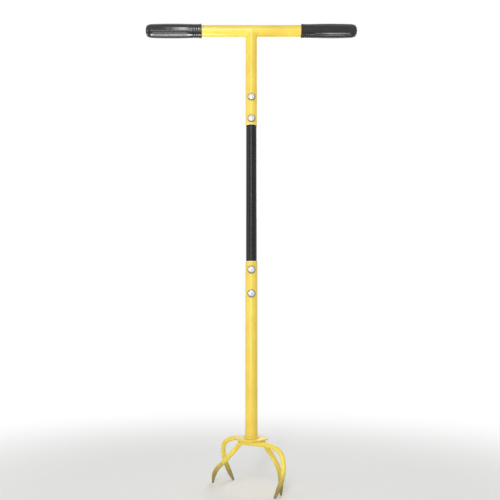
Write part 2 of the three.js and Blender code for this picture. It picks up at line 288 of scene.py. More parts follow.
def evaluated_mesh(carrier: bpy.types.Object) -> Mesh:
    """Turns an object with its modifiers into a plain mesh and removes the object.

    Args:
        carrier: The object that holds the modifiers.

    Returns:
        The plain mesh.
    """
    graph = bpy.context.evaluated_depsgraph_get()
    graph.update()
    mesh = bpy.data.meshes.new_from_object(carrier.evaluated_get(graph), depsgraph=graph)
    bpy.data.objects.remove(carrier)
    return mesh


def combine(mesh: Mesh, others: Sequence[Mesh], joining: Joining) -> Mesh:
    """Cuts closed shapes out of a closed mesh or unites them with it.

    Args:
        mesh: The mesh to change.
        others: The other shapes.
        joining: What they do to it.

    Returns:
        The changed mesh.
    """
    carrier = linked_object(mesh.name, mesh)
    helpers = [linked_object("helper", other) for other in others]
    for helper in helpers:
        modifier = carrier.modifiers.new(joining.name, "BOOLEAN")
        modifier.operation, modifier.solver = joining.value, "EXACT"
        modifier.object = helper
    result = evaluated_mesh(carrier)
    for helper in helpers:
        bpy.data.objects.remove(helper)
    tidy_mesh(result, SHARP_ANGLE)
    return result


def linear(code: str) -> tuple[float, float, float, float]:
    """Turns an sRGB hex colour to linear values.

    Args:
        code: Six hex digits.

    Returns:
        Red, green, blue and a full alpha.
    """
    channels = [int(code[k:k + 2], 16) / 255 for k in (0, 2, 4)]
    red, green, blue = (
        c / 12.92 if c <= 0.04045 else ((c + 0.055) / 1.055) ** 2.4 for c in channels
    )
    return red, green, blue, 1.0


@dataclass(frozen=True)
class Dressing:
    """The materials of a piece, with the slot that they stand for."""

    slot: Slot
    materials: tuple[Material, ...]


def place_piece(
    name: str, mesh: Mesh, dressing: Dressing, node: str, body: str = TOOL_BODY
) -> None:
    """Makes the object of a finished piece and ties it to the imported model.

    Args:
        name: Name of the piece.
        mesh: Its mesh, already in its place.
        dressing: Its materials and slot.
        node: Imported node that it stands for.
        body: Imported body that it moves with.
    """
    mesh.name = name
    mesh.materials.clear()
    for material in dressing.materials:
        mesh.materials.append(material)
    piece = linked_object(name, mesh)
    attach(piece, body)
    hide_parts(node)
    LOG.info("%s: %d faces, on %s", name, len(mesh.polygons), body)


# ---------------------------------------------------------------------------- nodes


MATH = "ShaderNodeMath"
NOISE = "ShaderNodeTexNoise"
RANGE = "ShaderNodeMapRange"
MIX = "ShaderNodeMix"
AddNode = Callable[..., Node]
Inputs = Sequence[object] | dict[str | int, object]


def plug(node: Node, inputs: Inputs) -> None:
    """Sets or links the inputs of a node.

    Args:
        node: The node.
        inputs: What each input gets, in order or by name or number: a plain value, an output
            socket, or a node for its first output in use.
    """
    pairs = inputs.items() if isinstance(inputs, dict) else enumerate(inputs)
    for key, value in pairs:
        if isinstance(value, Node):
            value = next(output for output in value.outputs if output.enabled)
        if isinstance(value, bpy.types.NodeSocket):
            node.id_data.links.new(value, node.inputs[key])
        else:
            node.inputs[key].default_value = value


def add_node(tree: Tree, kind: str, inputs: Inputs = (), **settings: object) -> Node:
    """Adds one node to a shader or geometry tree.

    Args:
        tree: The tree.
        kind: Blender's type name of the node.
        inputs: What its inputs get, as plug takes it.
        **settings: Properties of the node.

    Returns:
        The node.
    """
    node = tree.nodes.new(kind)
    for name, value in settings.items():
        setattr(node, name, value)
    plug(node, inputs)
    return node


@dataclass
class GrowthTree:
    """A Geometry Nodes tree with named sizes, which ends in Realize Instances and Set Material."""

    name: str
    sizes: dict[str, float]
    tree: Tree = field(init=False)
    entry: Node = field(init=False)

    def __post_init__(self) -> None:
        """Makes the empty tree with its interface."""
        self.tree = bpy.data.node_groups.new(self.name, "GeometryNodeTree")
        face = self.tree.interface
        face.new_socket("Start", in_out="INPUT", socket_type="NodeSocketGeometry")
        for label, value in self.sizes.items():
            socket = face.new_socket(label, in_out="INPUT", socket_type="NodeSocketFloat")
            socket.default_value = value
        face.new_socket("Finish", in_out="INPUT", socket_type="NodeSocketMaterial")
        face.new_socket("Result", in_out="OUTPUT", socket_type="NodeSocketGeometry")
        self.entry = self.tree.nodes.new("NodeGroupInput")

    def size(self, label: str) -> bpy.types.NodeSocket:
        """The output socket of a named size."""
        return self.entry.outputs[label]

    def finish(self, geometry: object) -> None:
        """Ends the tree.

        Args:
            geometry: Node or socket of the finished geometry.
        """
        add, material = partial(add_node, self.tree), self.size("Finish")
        real = add("GeometryNodeRealizeInstances", {"Geometry": geometry})
        dressed = add("GeometryNodeSetMaterial", {"Geometry": real, "Material": material})
        add("NodeGroupOutput", {"Result": dressed})

    def grow(
        self, start: Mesh, finish: Material, values: dict[str, float],
        sharp_angle: float = ROUND_SHARP_ANGLE,
    ) -> Mesh:
        """Runs the tree on a mesh.

        Args:
            start: The mesh to start from.
            finish: Material of the result.
            values: Sizes that differ from the tree's own.
            sharp_angle: Angle in degrees above which an edge stays sharp.

        Returns:
            The plain mesh.
        """
        carrier = linked_object(self.name, start)
        modifier = carrier.modifiers.new(self.name, "NODES")
        modifier.node_group = self.tree
        given = {**self.sizes, **values, "Finish": finish}
        for item in self.tree.interface.items_tree:
            if item.in_out == "INPUT" and item.name in given:
                modifier[item.identifier] = given[item.name]
        mesh = evaluated_mesh(carrier)
        tidy_mesh(mesh, sharp_angle)
        return mesh


@dataclass
class RoundPlace:
    """The nodes that read a point's place about the Z axis, in a growth tree."""

    growth: GrowthTree
    split: Node = field(init=False)
    height: bpy.types.NodeSocket = field(init=False)
    distance: Node = field(init=False)
    angle: Node = field(init=False)

    def __post_init__(self) -> None:
        """Adds the nodes for the distance from the axis and the angle round it, in radians."""
        add = partial(add_node, self.growth.tree)
        self.split = add("ShaderNodeSeparateXYZ", (add("GeometryNodeInputPosition"),))
        across, back, self.height = self.split.outputs
        squared = add(MATH, (back, back), operation="MULTIPLY")
        both = add(MATH, (across, across, squared), operation="MULTIPLY_ADD")
        self.distance = add(MATH, (both,), operation="SQRT")
        self.angle = add(MATH, (back, across), operation="ARCTAN2")

    def press_in(self, depth: Node) -> None:
        """Ends the tree by moving every point towards the axis.

        Args:
            depth: How far each point moves.
        """
        add = partial(add_node, self.growth.tree)
        left = add(MATH, (self.distance, depth), operation="SUBTRACT")
        safe = add(MATH, (self.distance, MERGE_DISTANCE), operation="MAXIMUM")
        scale = add(MATH, (left, safe), operation="DIVIDE")
        across, back, height = self.split.outputs
        moved = add("ShaderNodeCombineXYZ", (
            add(MATH, (across, scale), operation="MULTIPLY"),
            add(MATH, (back, scale), operation="MULTIPLY"), height,
        ))
        start = self.growth.size("Start")
        self.growth.finish(add("GeometryNodeSetPosition", {"Geometry": start, "Position": moved}))


def flute_tree() -> GrowthTree:
    """Builds the tree that presses lengthwise flutes and rings into a grip.

    Returns:
        The tree. It expects a grip on the Z axis, with its mouth at z = 0.
    """
    growth = GrowthTree("Grip flutes", {
        "Flutes": 14.0, "Flute Depth": 0.5 * MM, "Flute Start": 28 * MM, "Flute End": 108 * MM,
        "Run Out": 8 * MM, "Turn": 0.0, "Ring Start": 4 * MM, "Ring Count": 3.0,
        "Ring Pitch": 4.9 * MM, "Ring Width": 2.0 * MM, "Ring Depth": 0.75 * MM,
        "Skin Radius": 13.5 * MM,
    })
    add, size, place = partial(add_node, growth.tree), growth.size, RoundPlace(growth)
    half = add(MATH, (size("Flutes"), 0.5), operation="MULTIPLY")
    turned = add(MATH, (place.angle, half, size("Turn")), operation="MULTIPLY_ADD")
    lobe = add(MATH, (add(MATH, (turned,), operation="COSINE"),), operation="ABSOLUTE")
    valley = add(MATH, (1.0, lobe), operation="SUBTRACT")
    pressed = add(MATH, (valley, size("Flute Depth")), operation="MULTIPLY")
    ends = []
    for end, to_bare, to_full in (("Start", "SUBTRACT", "ADD"), ("End", "ADD", "SUBTRACT")):
        bare, full = (
            add(MATH, (size(f"Flute {end}"), size("Run Out")), operation=sign)
            for sign in (to_bare, to_full)
        )
        ends.append(add(RANGE, (place.height, bare, full), interpolation_type="SMOOTHSTEP"))
    depth = add(MATH, (pressed, add(MATH, ends, operation="MULTIPLY")), operation="MULTIPLY")
    way = add(MATH, (place.height, size("Ring Start")), operation="SUBTRACT")
    steps = add(MATH, (way, size("Ring Pitch")), operation="DIVIDE")
    least = add(MATH, (add(MATH, (steps,), operation="ROUND"), 1.0), operation="MAXIMUM")
    nearest = add(MATH, (least, size("Ring Count")), operation="MINIMUM")
    gap = add(MATH, (add(MATH, (steps, nearest), operation="SUBTRACT"),), operation="ABSOLUTE")
    away = add(MATH, (gap, size("Ring Pitch")), operation="MULTIPLY")
    edge = add(MATH, (size("Ring Width"), 0.5), operation="MULTIPLY")
    groove = add(RANGE, (away, edge, 0.0, 0.0, size("Ring Depth")), interpolation_type="SMOOTHSTEP")
    both = add(MATH, (depth, groove), operation="ADD")
    on_skin = add(MATH, (place.distance, size("Skin Radius")), operation="GREATER_THAN")
    place.press_in(add(MATH, (both, on_skin), operation="MULTIPLY"))
    return growth


def thread_tree() -> GrowthTree:
    """Builds the tree that rolls a right-hand thread into a bolt's shank.

    Returns:
        The tree. It expects a bolt on the Z axis, with its end at high z.
    """
    growth = GrowthTree("Rolled thread", {
        "Pitch": 1 * MM, "Thread Depth": 0.55 * MM, "Thread Start": 14 * MM, "Thread End": 36 * MM,
        "Run Out": 1.2 * MM, "Shank Radius": 3 * MM, "Skin From": 0.9, "Skin To": 1.02,
    })
    add, size, place = partial(add_node, growth.tree), growth.size, RoundPlace(growth)
    around = add(MATH, (place.angle, FULL_TURN), operation="DIVIDE")
    along = add(MATH, (place.height, size("Pitch")), operation="DIVIDE")
    share = add(MATH, (add(MATH, (along, around), operation="SUBTRACT"),), operation="FRACT")
    swing = add(MATH, (share, 2.0, -1.0), operation="MULTIPLY_ADD")
    ridge = add(MATH, (swing,), operation="ABSOLUTE")
    full = add(MATH, (size("Thread Start"), size("Run Out")), operation="ADD")
    shank = add(MATH, (place.distance, size("Shank Radius")), operation="DIVIDE")
    depth = add(MATH, (ridge, size("Thread Depth")), operation="MULTIPLY")
    for part in (
        add(RANGE, (place.height, size("Thread Start"), full)),
        add(MATH, (shank, size("Skin To")), operation="LESS_THAN"),
        add(MATH, (shank, size("Skin From")), operation="GREATER_THAN"),
        add(MATH, (place.height, size("Thread End")), operation="LESS_THAN"),
    ):
        depth = add(MATH, (depth, part), operation="MULTIPLY")
    place.press_in(depth)
    return growth


def bead_tree() -> GrowthTree:
    """Builds the tree that lays a rippled weld bead along a line.

    Returns:
        The tree. It expects a line of points joined by edges.
    """
    growth = GrowthTree("Weld bead", {
        "Bead Radius": 3.2 * MM, "End Taper": 0.9, "Ripple Pitch": 2.0 * MM,
        "Ripple Height": 0.35 * MM, "Ripple Bow": 0.9, "Step": 0.33 * MM, "Around": 20.0,
    })
    add, size = partial(add_node, growth.tree), growth.size
    line = add("GeometryNodeMeshToCurve", {"Mesh": size("Start")})
    even = add("GeometryNodeResampleCurve", {"Curve": line, "Length": size("Step")}, mode="LENGTH")
    spine = add("GeometryNodeSplineParameter")
    kept = add("GeometryNodeCaptureAttribute", {"Geometry": even})
    kept.capture_items.new("FLOAT", "Way")
    plug(kept, {"Way": spine.outputs["Length"]})
    off_middle = add(MATH, (spine.outputs["Factor"], 2.0, -1.0), operation="MULTIPLY_ADD")
    off = add(MATH, (off_middle, size("End Taper")), operation="MULTIPLY")
    left = add(MATH, (1.0, add(MATH, (off, off), operation="MULTIPLY")), operation="SUBTRACT")
    fullness = add(MATH, (left,), operation="SQRT")
    corners = add("FunctionNodeFloatToInt", (size("Around"),))
    ring = add("GeometryNodeCurvePrimitiveCircle", {
        "Radius": size("Bead Radius"), "Resolution": corners,
    })
    rim = add("GeometryNodeCaptureAttribute", {"Geometry": ring})
    rim.capture_items.new("FLOAT", "Round")
    plug(rim, {"Round": add("GeometryNodeSplineParameter").outputs["Factor"]})
    bead = add("GeometryNodeCurveToMesh", {
        "Curve": kept.outputs["Geometry"], "Profile Curve": rim.outputs["Geometry"],
        "Scale": fullness, "Fill Caps": True,
    })
    turn = add(MATH, (rim.outputs["Round"], FULL_TURN), operation="MULTIPLY")
    arch = add(MATH, (turn,), operation="SINE")
    bow = add(MATH, (arch, size("Ripple Bow")), operation="MULTIPLY")
    way = add(MATH, (kept.outputs["Way"], size("Ripple Pitch")), operation="DIVIDE")
    phase = add(MATH, (add(MATH, (way, bow), operation="ADD"), math.pi), operation="MULTIPLY")
    crest = add(MATH, (add(MATH, (phase,), operation="SINE"),), operation="ABSOLUTE")
    below = add(MATH, (crest, 1.0), operation="SUBTRACT")
    sunk = add(MATH, (below, size("Ripple Height")), operation="MULTIPLY")
    normal = add("GeometryNodeInputNormal")
    lift = add("ShaderNodeVectorMath", {0: normal, "Scale": sunk}, operation="SCALE")
    growth.finish(add("GeometryNodeSetPosition", {"Geometry": bead, "Offset": lift}))
    return growth


# ---------------------------------------------------------------------------- finishes


RIM_MARK = "rim"
CENTRE_MARK = "centre"


def mark_points(mesh: Mesh, label: str, rule: Callable[[Vector], float]) -> None:
    """Stores a share at each point of a mesh, by a rule that takes places in millimetres."""
    mark = mesh.attributes.new(label, "FLOAT", "POINT")
    mark.data.foreach_set("value", [rule(point.co / MM) for point in mesh.vertices])


class Fade(Enum):
    """How a patch fades in over its span of the noise."""

    EVEN = "LINEAR"
    SOFT = "SMOOTHSTEP"


@dataclass(frozen=True)
class Patch:
    """Cloudy patches of a size in millimetres, with the values outside and inside a patch."""

    size: float
    detail: float
    span: Pair
    values: Pair = (0.0, 1.0)
    fade: Fade = Fade.SOFT
    stretch: float = 1.0


@dataclass(frozen=True)
class Ripple:
    """Fine waves of a surface, with their length and height in millimetres."""

    wave: float
    height: float
    detail: float
    strength: float


@dataclass(frozen=True)
class Finish:
    """What every finish has: a name, a main colour and the shader's plain values."""

    name: str
    colour: str
    roughness: float
    ior: float = 1.5
    specular: float = 0.5


@dataclass
class Mixing:
    """A material in the making: a bare shader, and the patterns that the finishes share."""

    finish: Finish
    material: Material = field(init=False)
    add: AddNode = field(init=False)
    shader: Node = field(init=False)
    place: bpy.types.NodeSocket = field(init=False)

    def __post_init__(self) -> None:
        """Makes the material, its shader and the object's coordinates."""
        self.material = bpy.data.materials.new(self.finish.name)
        self.material.use_nodes = True
        self.material.diffuse_color = linear(self.finish.colour)
        self.shader = self.material.node_tree.nodes["Principled BSDF"]
        plug(self.shader, {
            "Base Color": linear(self.finish.colour), "Roughness": self.finish.roughness,
            "IOR": self.finish.ior, "Specular IOR Level": self.finish.specular,
        })
        self.add = partial(add_node, self.material.node_tree)
        self.place = self.add("ShaderNodeTexCoord").outputs["Object"]

    def patches(self, patch: Patch, base: float = 0.0) -> Node:
        """Adds cloudy patches.

        Args:
            patch: The patches.
            base: What is added to both of their values.

        Returns:
            The node that gives the value.
        """
        place = self.place
        if patch.stretch != 1.0:
            stretch = (1.0, 1.0, patch.stretch)
            place = self.add("ShaderNodeMapping", {"Vector": place, "Scale": stretch})
        scale = 1 / (patch.size * MM)
        cloud = self.add(NOISE, {"Vector": place, "Scale": scale, "Detail": patch.detail})
        values = [base + value for value in patch.values]
        return self.add(RANGE, (cloud, *patch.span, *values), interpolation_type=patch.fade.value)

    def clouded(self, patch: Patch, colour: str) -> Node:
        """Mixes patches of another colour into the finish's own."""
        colours = {0: self.patches(patch), 6: linear(self.finish.colour), 7: linear(colour)}
        return self.add(MIX, colours, data_type="RGBA")

    def marked(self, mark: str, under: Node, colour: str) -> Node:
        """Lays a colour over another where the mesh has a mark."""
        share = self.add("ShaderNodeAttribute", attribute_name=mark).outputs["Fac"]
        return self.add(MIX, {0: share, 6: under, 7: linear(colour)}, data_type="RGBA")

    def rippled(self, ripple: Ripple) -> Node:
        """Adds fine waves.

        Args:
            ripple: The waves.

        Returns:
            The node that gives the normal.
        """
        scale = 1 / (ripple.wave * MM)
        wave = self.add(NOISE, {"Vector": self.place, "Scale": scale, "Detail": ripple.detail})
        return self.add("ShaderNodeBump", {
            "Height": wave, "Strength": ripple.strength, "Distance": ripple.height * MM,
        })


@dataclass(frozen=True)
class PowderCoat(Finish):
    """Polyester powder coat, sprayed dry on degreased steel and baked."""

    thin_colour: str = "e9c84a"
    # Paler cut ends: partly rubbed coat and partly a painted highlight along the rounded lip.
    worn_colour: str = "f7ecb4"
    cloud: Patch = Patch(55.0, 4.0, (0.35, 0.7))
    # Scuffs are about a third of a millimetre wide in life and are drawn wider so as to show.
    scuff: Patch = Patch(9.0, 6.0, (0.62, 0.72), (0.0, 0.24), Fade.EVEN, 0.35)
    peel: Ripple = Ripple(2.4, 0.03, 1.0, 0.35)

    def build(self) -> Material:
        """Builds the material.

        Returns:
            The material.
        """
        # The melt levels to a glossy film: long clean highlights over a faint orange peel of 2 mm
        # waves, colour a little uneven in depth, dull in small scuffs. Paler at cut edges: partly
        # thin, rubbed coat and partly a painted highlight along the rounded lip.
        mixing = Mixing(self)
        coat = mixing.clouded(self.cloud, self.thin_colour)
        # The rim mark paints the cut ends paler: partly wear and partly a painted highlight along
        # the lip.
        plug(mixing.shader, {
            "Base Color": mixing.marked(RIM_MARK, coat, self.worn_colour),
            "Roughness": mixing.patches(self.scuff, self.roughness),
            "Normal": mixing.rippled(self.peel),
        })
        return mixing.material


@dataclass(frozen=True)
class SoilWornCoat(Finish):
    """The same powder coat on the bent tine bars, stained and rubbed by soil."""

    thin_colour: str = "e8cd48"
    soil_colour: str = "7b7049"
    steel_colour: str = "8b8478"
    soil_fade: Pair = (60.0, 14.0)
    soil_cover: float = 0.82
    soil_roughness: float = 0.75
    steel_fade: Pair = (9.0, 4.0)
    steel_metal: float = 0.7
    ragged_height: float = 26.0
    ragged: Patch = Patch(9.0, 6.0, (0.0, 1.0), fade=Fade.EVEN)
    cloud: Patch = Patch(30.0, 4.0, (0.35, 0.7))
    peel: Ripple = Ripple(2.0, 0.05, 3.0, 0.4)

    def build(self) -> Material:
        """Builds the material.

        Returns:
            The material.
        """
        # Bright and glossy at the bends, then a ragged film of dried soil that dulls it to olive
        # towards the tips, and a last few millimetres rubbed through to grey steel.
        mixing = Mixing(self)
        add, swing = mixing.add, self.ragged_height * MM
        height = add("ShaderNodeSeparateXYZ", (mixing.place,)).outputs["Z"]
        level = add(MATH, (mixing.patches(self.ragged), swing, height), operation="MULTIPLY_ADD")
        soil_top, soil_full, steel_top, steel_full = (
            place * MM + swing / 2 for place in (*self.soil_fade, *self.steel_fade)
        )
        film = (level, soil_top, soil_full, 0.0, self.soil_cover)
        soil = add(RANGE, film, interpolation_type="SMOOTHSTEP")
        bare = add(RANGE, (level, steel_top, steel_full))
        coat = mixing.clouded(self.cloud, self.thin_colour)
        dusty = add(MIX, {0: soil, 6: coat, 7: linear(self.soil_colour)}, data_type="RGBA")
        rubbed = add(MIX, {0: bare, 6: dusty, 7: linear(self.steel_colour)}, data_type="RGBA")
        dulled = (soil, 0.0, self.soil_cover, self.roughness, self.soil_roughness)
        plug(mixing.shader, {
            "Base Color": rubbed, "Roughness": add(RANGE, dulled),
            "Metallic": add(MATH, (bare, self.steel_metal), operation="MULTIPLY"),
            "Normal": mixing.rippled(self.peel),
        })
        return mixing.material


@dataclass(frozen=True)
class MouldedVinyl(Finish):
    """Plasticised PVC, moulded over a polished former."""

    dust_colour: str = "28282b"
    dust: Patch = Patch(16.0, 2.0, (0.45, 0.75), (0.0, 0.45))
    dulling: Patch = Patch(16.0, 2.0, (0.45, 0.75), (0.0, 0.08), Fade.EVEN)
    grain: Ripple = Ripple(0.9, 0.012, 2.0, 0.1)

    def build(self) -> Material:
        """Builds the material.

        Returns:
            The material.
        """
        # Near black with sharp window-like highlights along each lobe, broken a little by the
        # mould's grain and by cloudy patches of skin grease and dust that are greyer and duller.
        mixing = Mixing(self)
        plug(mixing.shader, {
            "Base Color": mixing.clouded(self.dust, self.dust_colour),
            "Roughness": mixing.patches(self.dulling, self.roughness),
            "Normal": mixing.rippled(self.grain),
        })
        return mixing.material


@dataclass(frozen=True)
class BrightZinc(Finish):
    """Electroplated zinc with a clear passivation, on cold-headed steel."""

    straw_colour: str = "e3dfd2"
    # Painted contact shade at the head's rim.
    rim_shade_colour: str = "3d3422"
    # Painted reflection of the camera at the head's centre.
    centre_reflection_colour: str = "938cab"
    straw: Patch = Patch(5.0, 3.0, (0.4, 0.75), (0.0, 0.5))
    dulling: Patch = Patch(5.0, 3.0, (0.3, 0.75), (0.0, 0.1), Fade.EVEN)
    rim_dulling: float = 0.35
    heading: Ripple = Ripple(2.6, 0.02, 1.0, 0.2)

    def build(self) -> Material:
        """Builds the material.

        Returns:
            The material.
        """
        # A soft bright mirror with faint straw clouds and shallow waves from the heading die. A
        # lavender-grey spot at the head's centre is a painted reflection of the camera, and a dark
        # brown ring round its rim is painted contact shade, where the rim is also duller.
        mixing = Mixing(self)
        plate = mixing.clouded(self.straw, self.straw_colour)
        reflected = mixing.marked(CENTRE_MARK, plate, self.centre_reflection_colour)
        # The rim's dark brown is painted contact shade where the head stands off the round tube;
        # the rim is duller too.
        rim = mixing.add("ShaderNodeAttribute", attribute_name=RIM_MARK).outputs["Fac"]
        worn = mixing.patches(self.dulling, self.roughness)
        dulled = mixing.add(MATH, (rim, self.rim_dulling, worn), operation="MULTIPLY_ADD")
        plug(mixing.shader, {
            "Base Color": mixing.marked(RIM_MARK, reflected, self.rim_shade_colour), "Metallic": 1.0,
            "Roughness": dulled, "Normal": mixing.rippled(self.heading),
        })
        return mixing.material


@dataclass(frozen=True)
class Nylon(Finish):
    """Natural nylon, pressed into the lock nut's collar."""

    stain_colour: str = "cfc8b2"
    stain: Patch = Patch(1.5, 4.0, (0.4, 0.8), (0.0, 0.6), Fade.EVEN)
    milkiness: float = 0.15
    light_depth: float = 0.5

    def build(self) -> Material:
        """Builds the material.

        Returns:
            The material.
        """
        # Milky and waxy, a little see-through, with straw stains.
        mixing = Mixing(self)
        plug(mixing.shader, {
            "Base Color": mixing.clouded(self.stain, self.stain_colour),
            "Subsurface Weight": self.milkiness, "Subsurface Scale": 1.0,
            "Subsurface Radius": [self.light_depth * MM] * 3,
        })
        return mixing.material


@dataclass(frozen=True)
class FloorPaint(Finish):
    """Matt white studio paint, rolled on a board, whose far part is lit to plain white."""

    light_colour: str = "fafaf9"
    # A roller's stipple is 2 mm wide in life and is drawn wider, 90 specks to the metre, to show.
    stipple: Patch = Patch(1000 / 90, 4.0, (0.0, 1.0), fade=Fade.EVEN)
    near: float = 0.35
    far: float = 1.2

    def build(self) -> Material:
        """Builds the material.

        Returns:
            The material.
        """
        # Flat and nearly without gloss, with the faint stipple that a roller leaves. It keeps the
        # tool's shadow and melts into the white surroundings further off.
        mixing = Mixing(self)
        add, tree = mixing.add, mixing.material.node_tree
        plug(mixing.shader, {"Base Color": mixing.clouded(self.stipple, self.light_colour)})
        flat = add("ShaderNodeVectorMath", (mixing.place,), operation="LENGTH")
        away = add(RANGE, (flat, self.near, self.far), interpolation_type="SMOOTHSTEP")
        share = add(MATH, (away, seen_rays(tree)), operation="MULTIPLY")
        glow = add("ShaderNodeEmission", {"Color": linear("ffffff"), "Strength": 1.0})
        both = add("ShaderNodeMixShader", (share, mixing.shader, glow))
        plug(tree.nodes["Material Output"], {"Surface": both})
        return mixing.material


def seen_rays(tree: Tree) -> Node:
    """Adds the test for rays that show the background.

    Args:
        tree: Tree of the world or of a material.

    Returns:
        A node that gives 1 for camera, glossy and transmission rays.
    """
    path = add_node(tree, "ShaderNodeLightPath").outputs
    direct = (path["Is Camera Ray"], path["Is Glossy Ray"])
    either = add_node(tree, MATH, direct, operation="MAXIMUM")
    return add_node(tree, MATH, (either, path["Is Transmission Ray"]), operation="MAXIMUM")


@dataclass(frozen=True)
class Finishes:
    """Every finish of the tool, built once."""

    yellow: Dressing
    tine: Dressing
    black: Dressing
    vinyl: Dressing
    zinc: Dressing
    lock_nut: Dressing

    @classmethod
    def build(cls) -> "Finishes":
        """Builds the finishes.

        Returns:
            The set of dressings.
        """
        yellow = PowderCoat("yellow polyester powder coat", "f0d554", 0.26).build()
        tine = SoilWornCoat("soil-worn yellow powder coat", "f1dc50", 0.26).build()
        black = PowderCoat(
            "satin black powder coat", "0b0c0e", 0.27, specular=0.3, thin_colour="131416",
            worn_colour="2c2c2d", peel=replace(PowderCoat.peel, height=0.002),
            scuff=replace(PowderCoat.scuff, values=(0.0, 0.03)),
        ).build()
        vinyl = MouldedVinyl("moulded black vinyl", "111113", 0.13, ior=1.53, specular=0.45).build()
        zinc = BrightZinc("bright zinc plate", "dfe1e5", 0.17).build()
        nylon = Nylon("natural nylon", "e9e4d3", 0.45, ior=1.53).build()
        return cls(
            Dressing(Slot.YELLOW, (yellow,)), Dressing(Slot.TINE, (tine,)),
            Dressing(Slot.BLACK, (black,)), Dressing(Slot.VINYL, (vinyl,)),
            Dressing(Slot.ZINC, (zinc,)), Dressing(Slot.ZINC, (zinc, nylon)),
        )


# ---------------------------------------------------------------------------- tubes and handle


@dataclass
class TubeStock:
    """Drawn steel tube with its ends deburred round."""

    radius: float
    wall: float
    sides: int = 96
    lip: float = 0.5
    worn_end: float = 2.2
    clear_end: float = 1.0

    def mark_ends(self, mesh: Mesh, low: float, high: float) -> None:
        """Marks the cut ends of a tube along Z, painted paler: partly thin, rubbed coat and partly
        a painted highlight along the rounded lip.
        """
        mark_points(mesh, RIM_MARK, lambda point: 1 - smooth_step(
            min(point.z - low, high - point.z) / self.worn_end
        ))

    def profile(self, low: float, high: float, rings: Sequence[float] = ()) -> list[Pair]:
        """Lays out the wall's outline.

        Args:
            low: Where the tube starts along its axis.
            high: Where it ends.
            rings: Places along the tube at which an extra ring is wanted.

        Returns:
            Pairs of radius and height, closed on itself.
        """
        inner, edge = self.radius - self.wall, self.radius - self.lip
        wanted = (*rings, low + self.worn_end, high - self.worn_end)
        places = sorted(p for p in wanted if low + self.clear_end < p < high - self.clear_end)
        return [
            (inner, low), *rounded_corner((edge, low + self.lip), -90, self.lip),
            *((self.radius, place) for place in places),
            *rounded_corner((edge, high - self.lip), 0, self.lip), (inner, high),
            *((inner, place) for place in reversed(places)),
        ]


class BoltPlace(Enum):
    """Places of the four bolts on the shaft."""

    HANDLE_UPPER = "handle_upper"
    HANDLE_LOWER = "handle_lower"
    FOOT_UPPER = "foot_upper"
    FOOT_LOWER = "foot_lower"

    def height(self) -> float:
        """Height of the bolt's axis, in millimetres."""
        return sum(packed_span(f"{self.value}_bolt", 2)) / 2


@dataclass
class BoltHoles:
    """Holes for carriage bolts: square in front for the neck and round behind for the shank."""

    neck_side: float = 6.6
    shank_radius: float = 3.3
    reach: float = 16.0
    sides: int = 40
    ring_gap: float = 10.0

    def rings(self, heights: Sequence[float]) -> list[float]:
        """Heights of the tube's extra rings, one above and one below each hole."""
        return [height + gap for height in heights for gap in (-self.ring_gap, self.ring_gap)]

    def cutters(self, height: float) -> list[Mesh]:
        """Makes the shapes that cut the holes of one bolt.

        Args:
            height: Height of the bolt on the tool.

        Returns:
            The square and the round cutter.
        """
        half, square = self.neck_side / 2, Skin()
        corners = ((-half, -half), (half, -half), (half, half), (-half, half))
        rings = [[Vector((x, y, height + z)) for x, z in corners] for y in (-self.reach, 0)]
        square.loft([[Vector((0, -self.reach, height))], *rings, [Vector((0, 0, height))]])
        outline = [(0, 0), (self.shank_radius, 0), (self.shank_radius, self.reach), (0, self.reach)]
        drill = lay(turned_mesh("drill", outline, self.sides), (0, 0, height), Axis.BACK)
        return [square.mesh("punch"), drill]

    def drill(self, tube: Mesh, heights: Sequence[float]) -> Mesh:
        """Cuts the holes of every bolt out of a tube."""
        cutters = [cutter for height in heights for cutter in self.cutters(height)]
        return combine(tube, cutters, Joining.CUT)


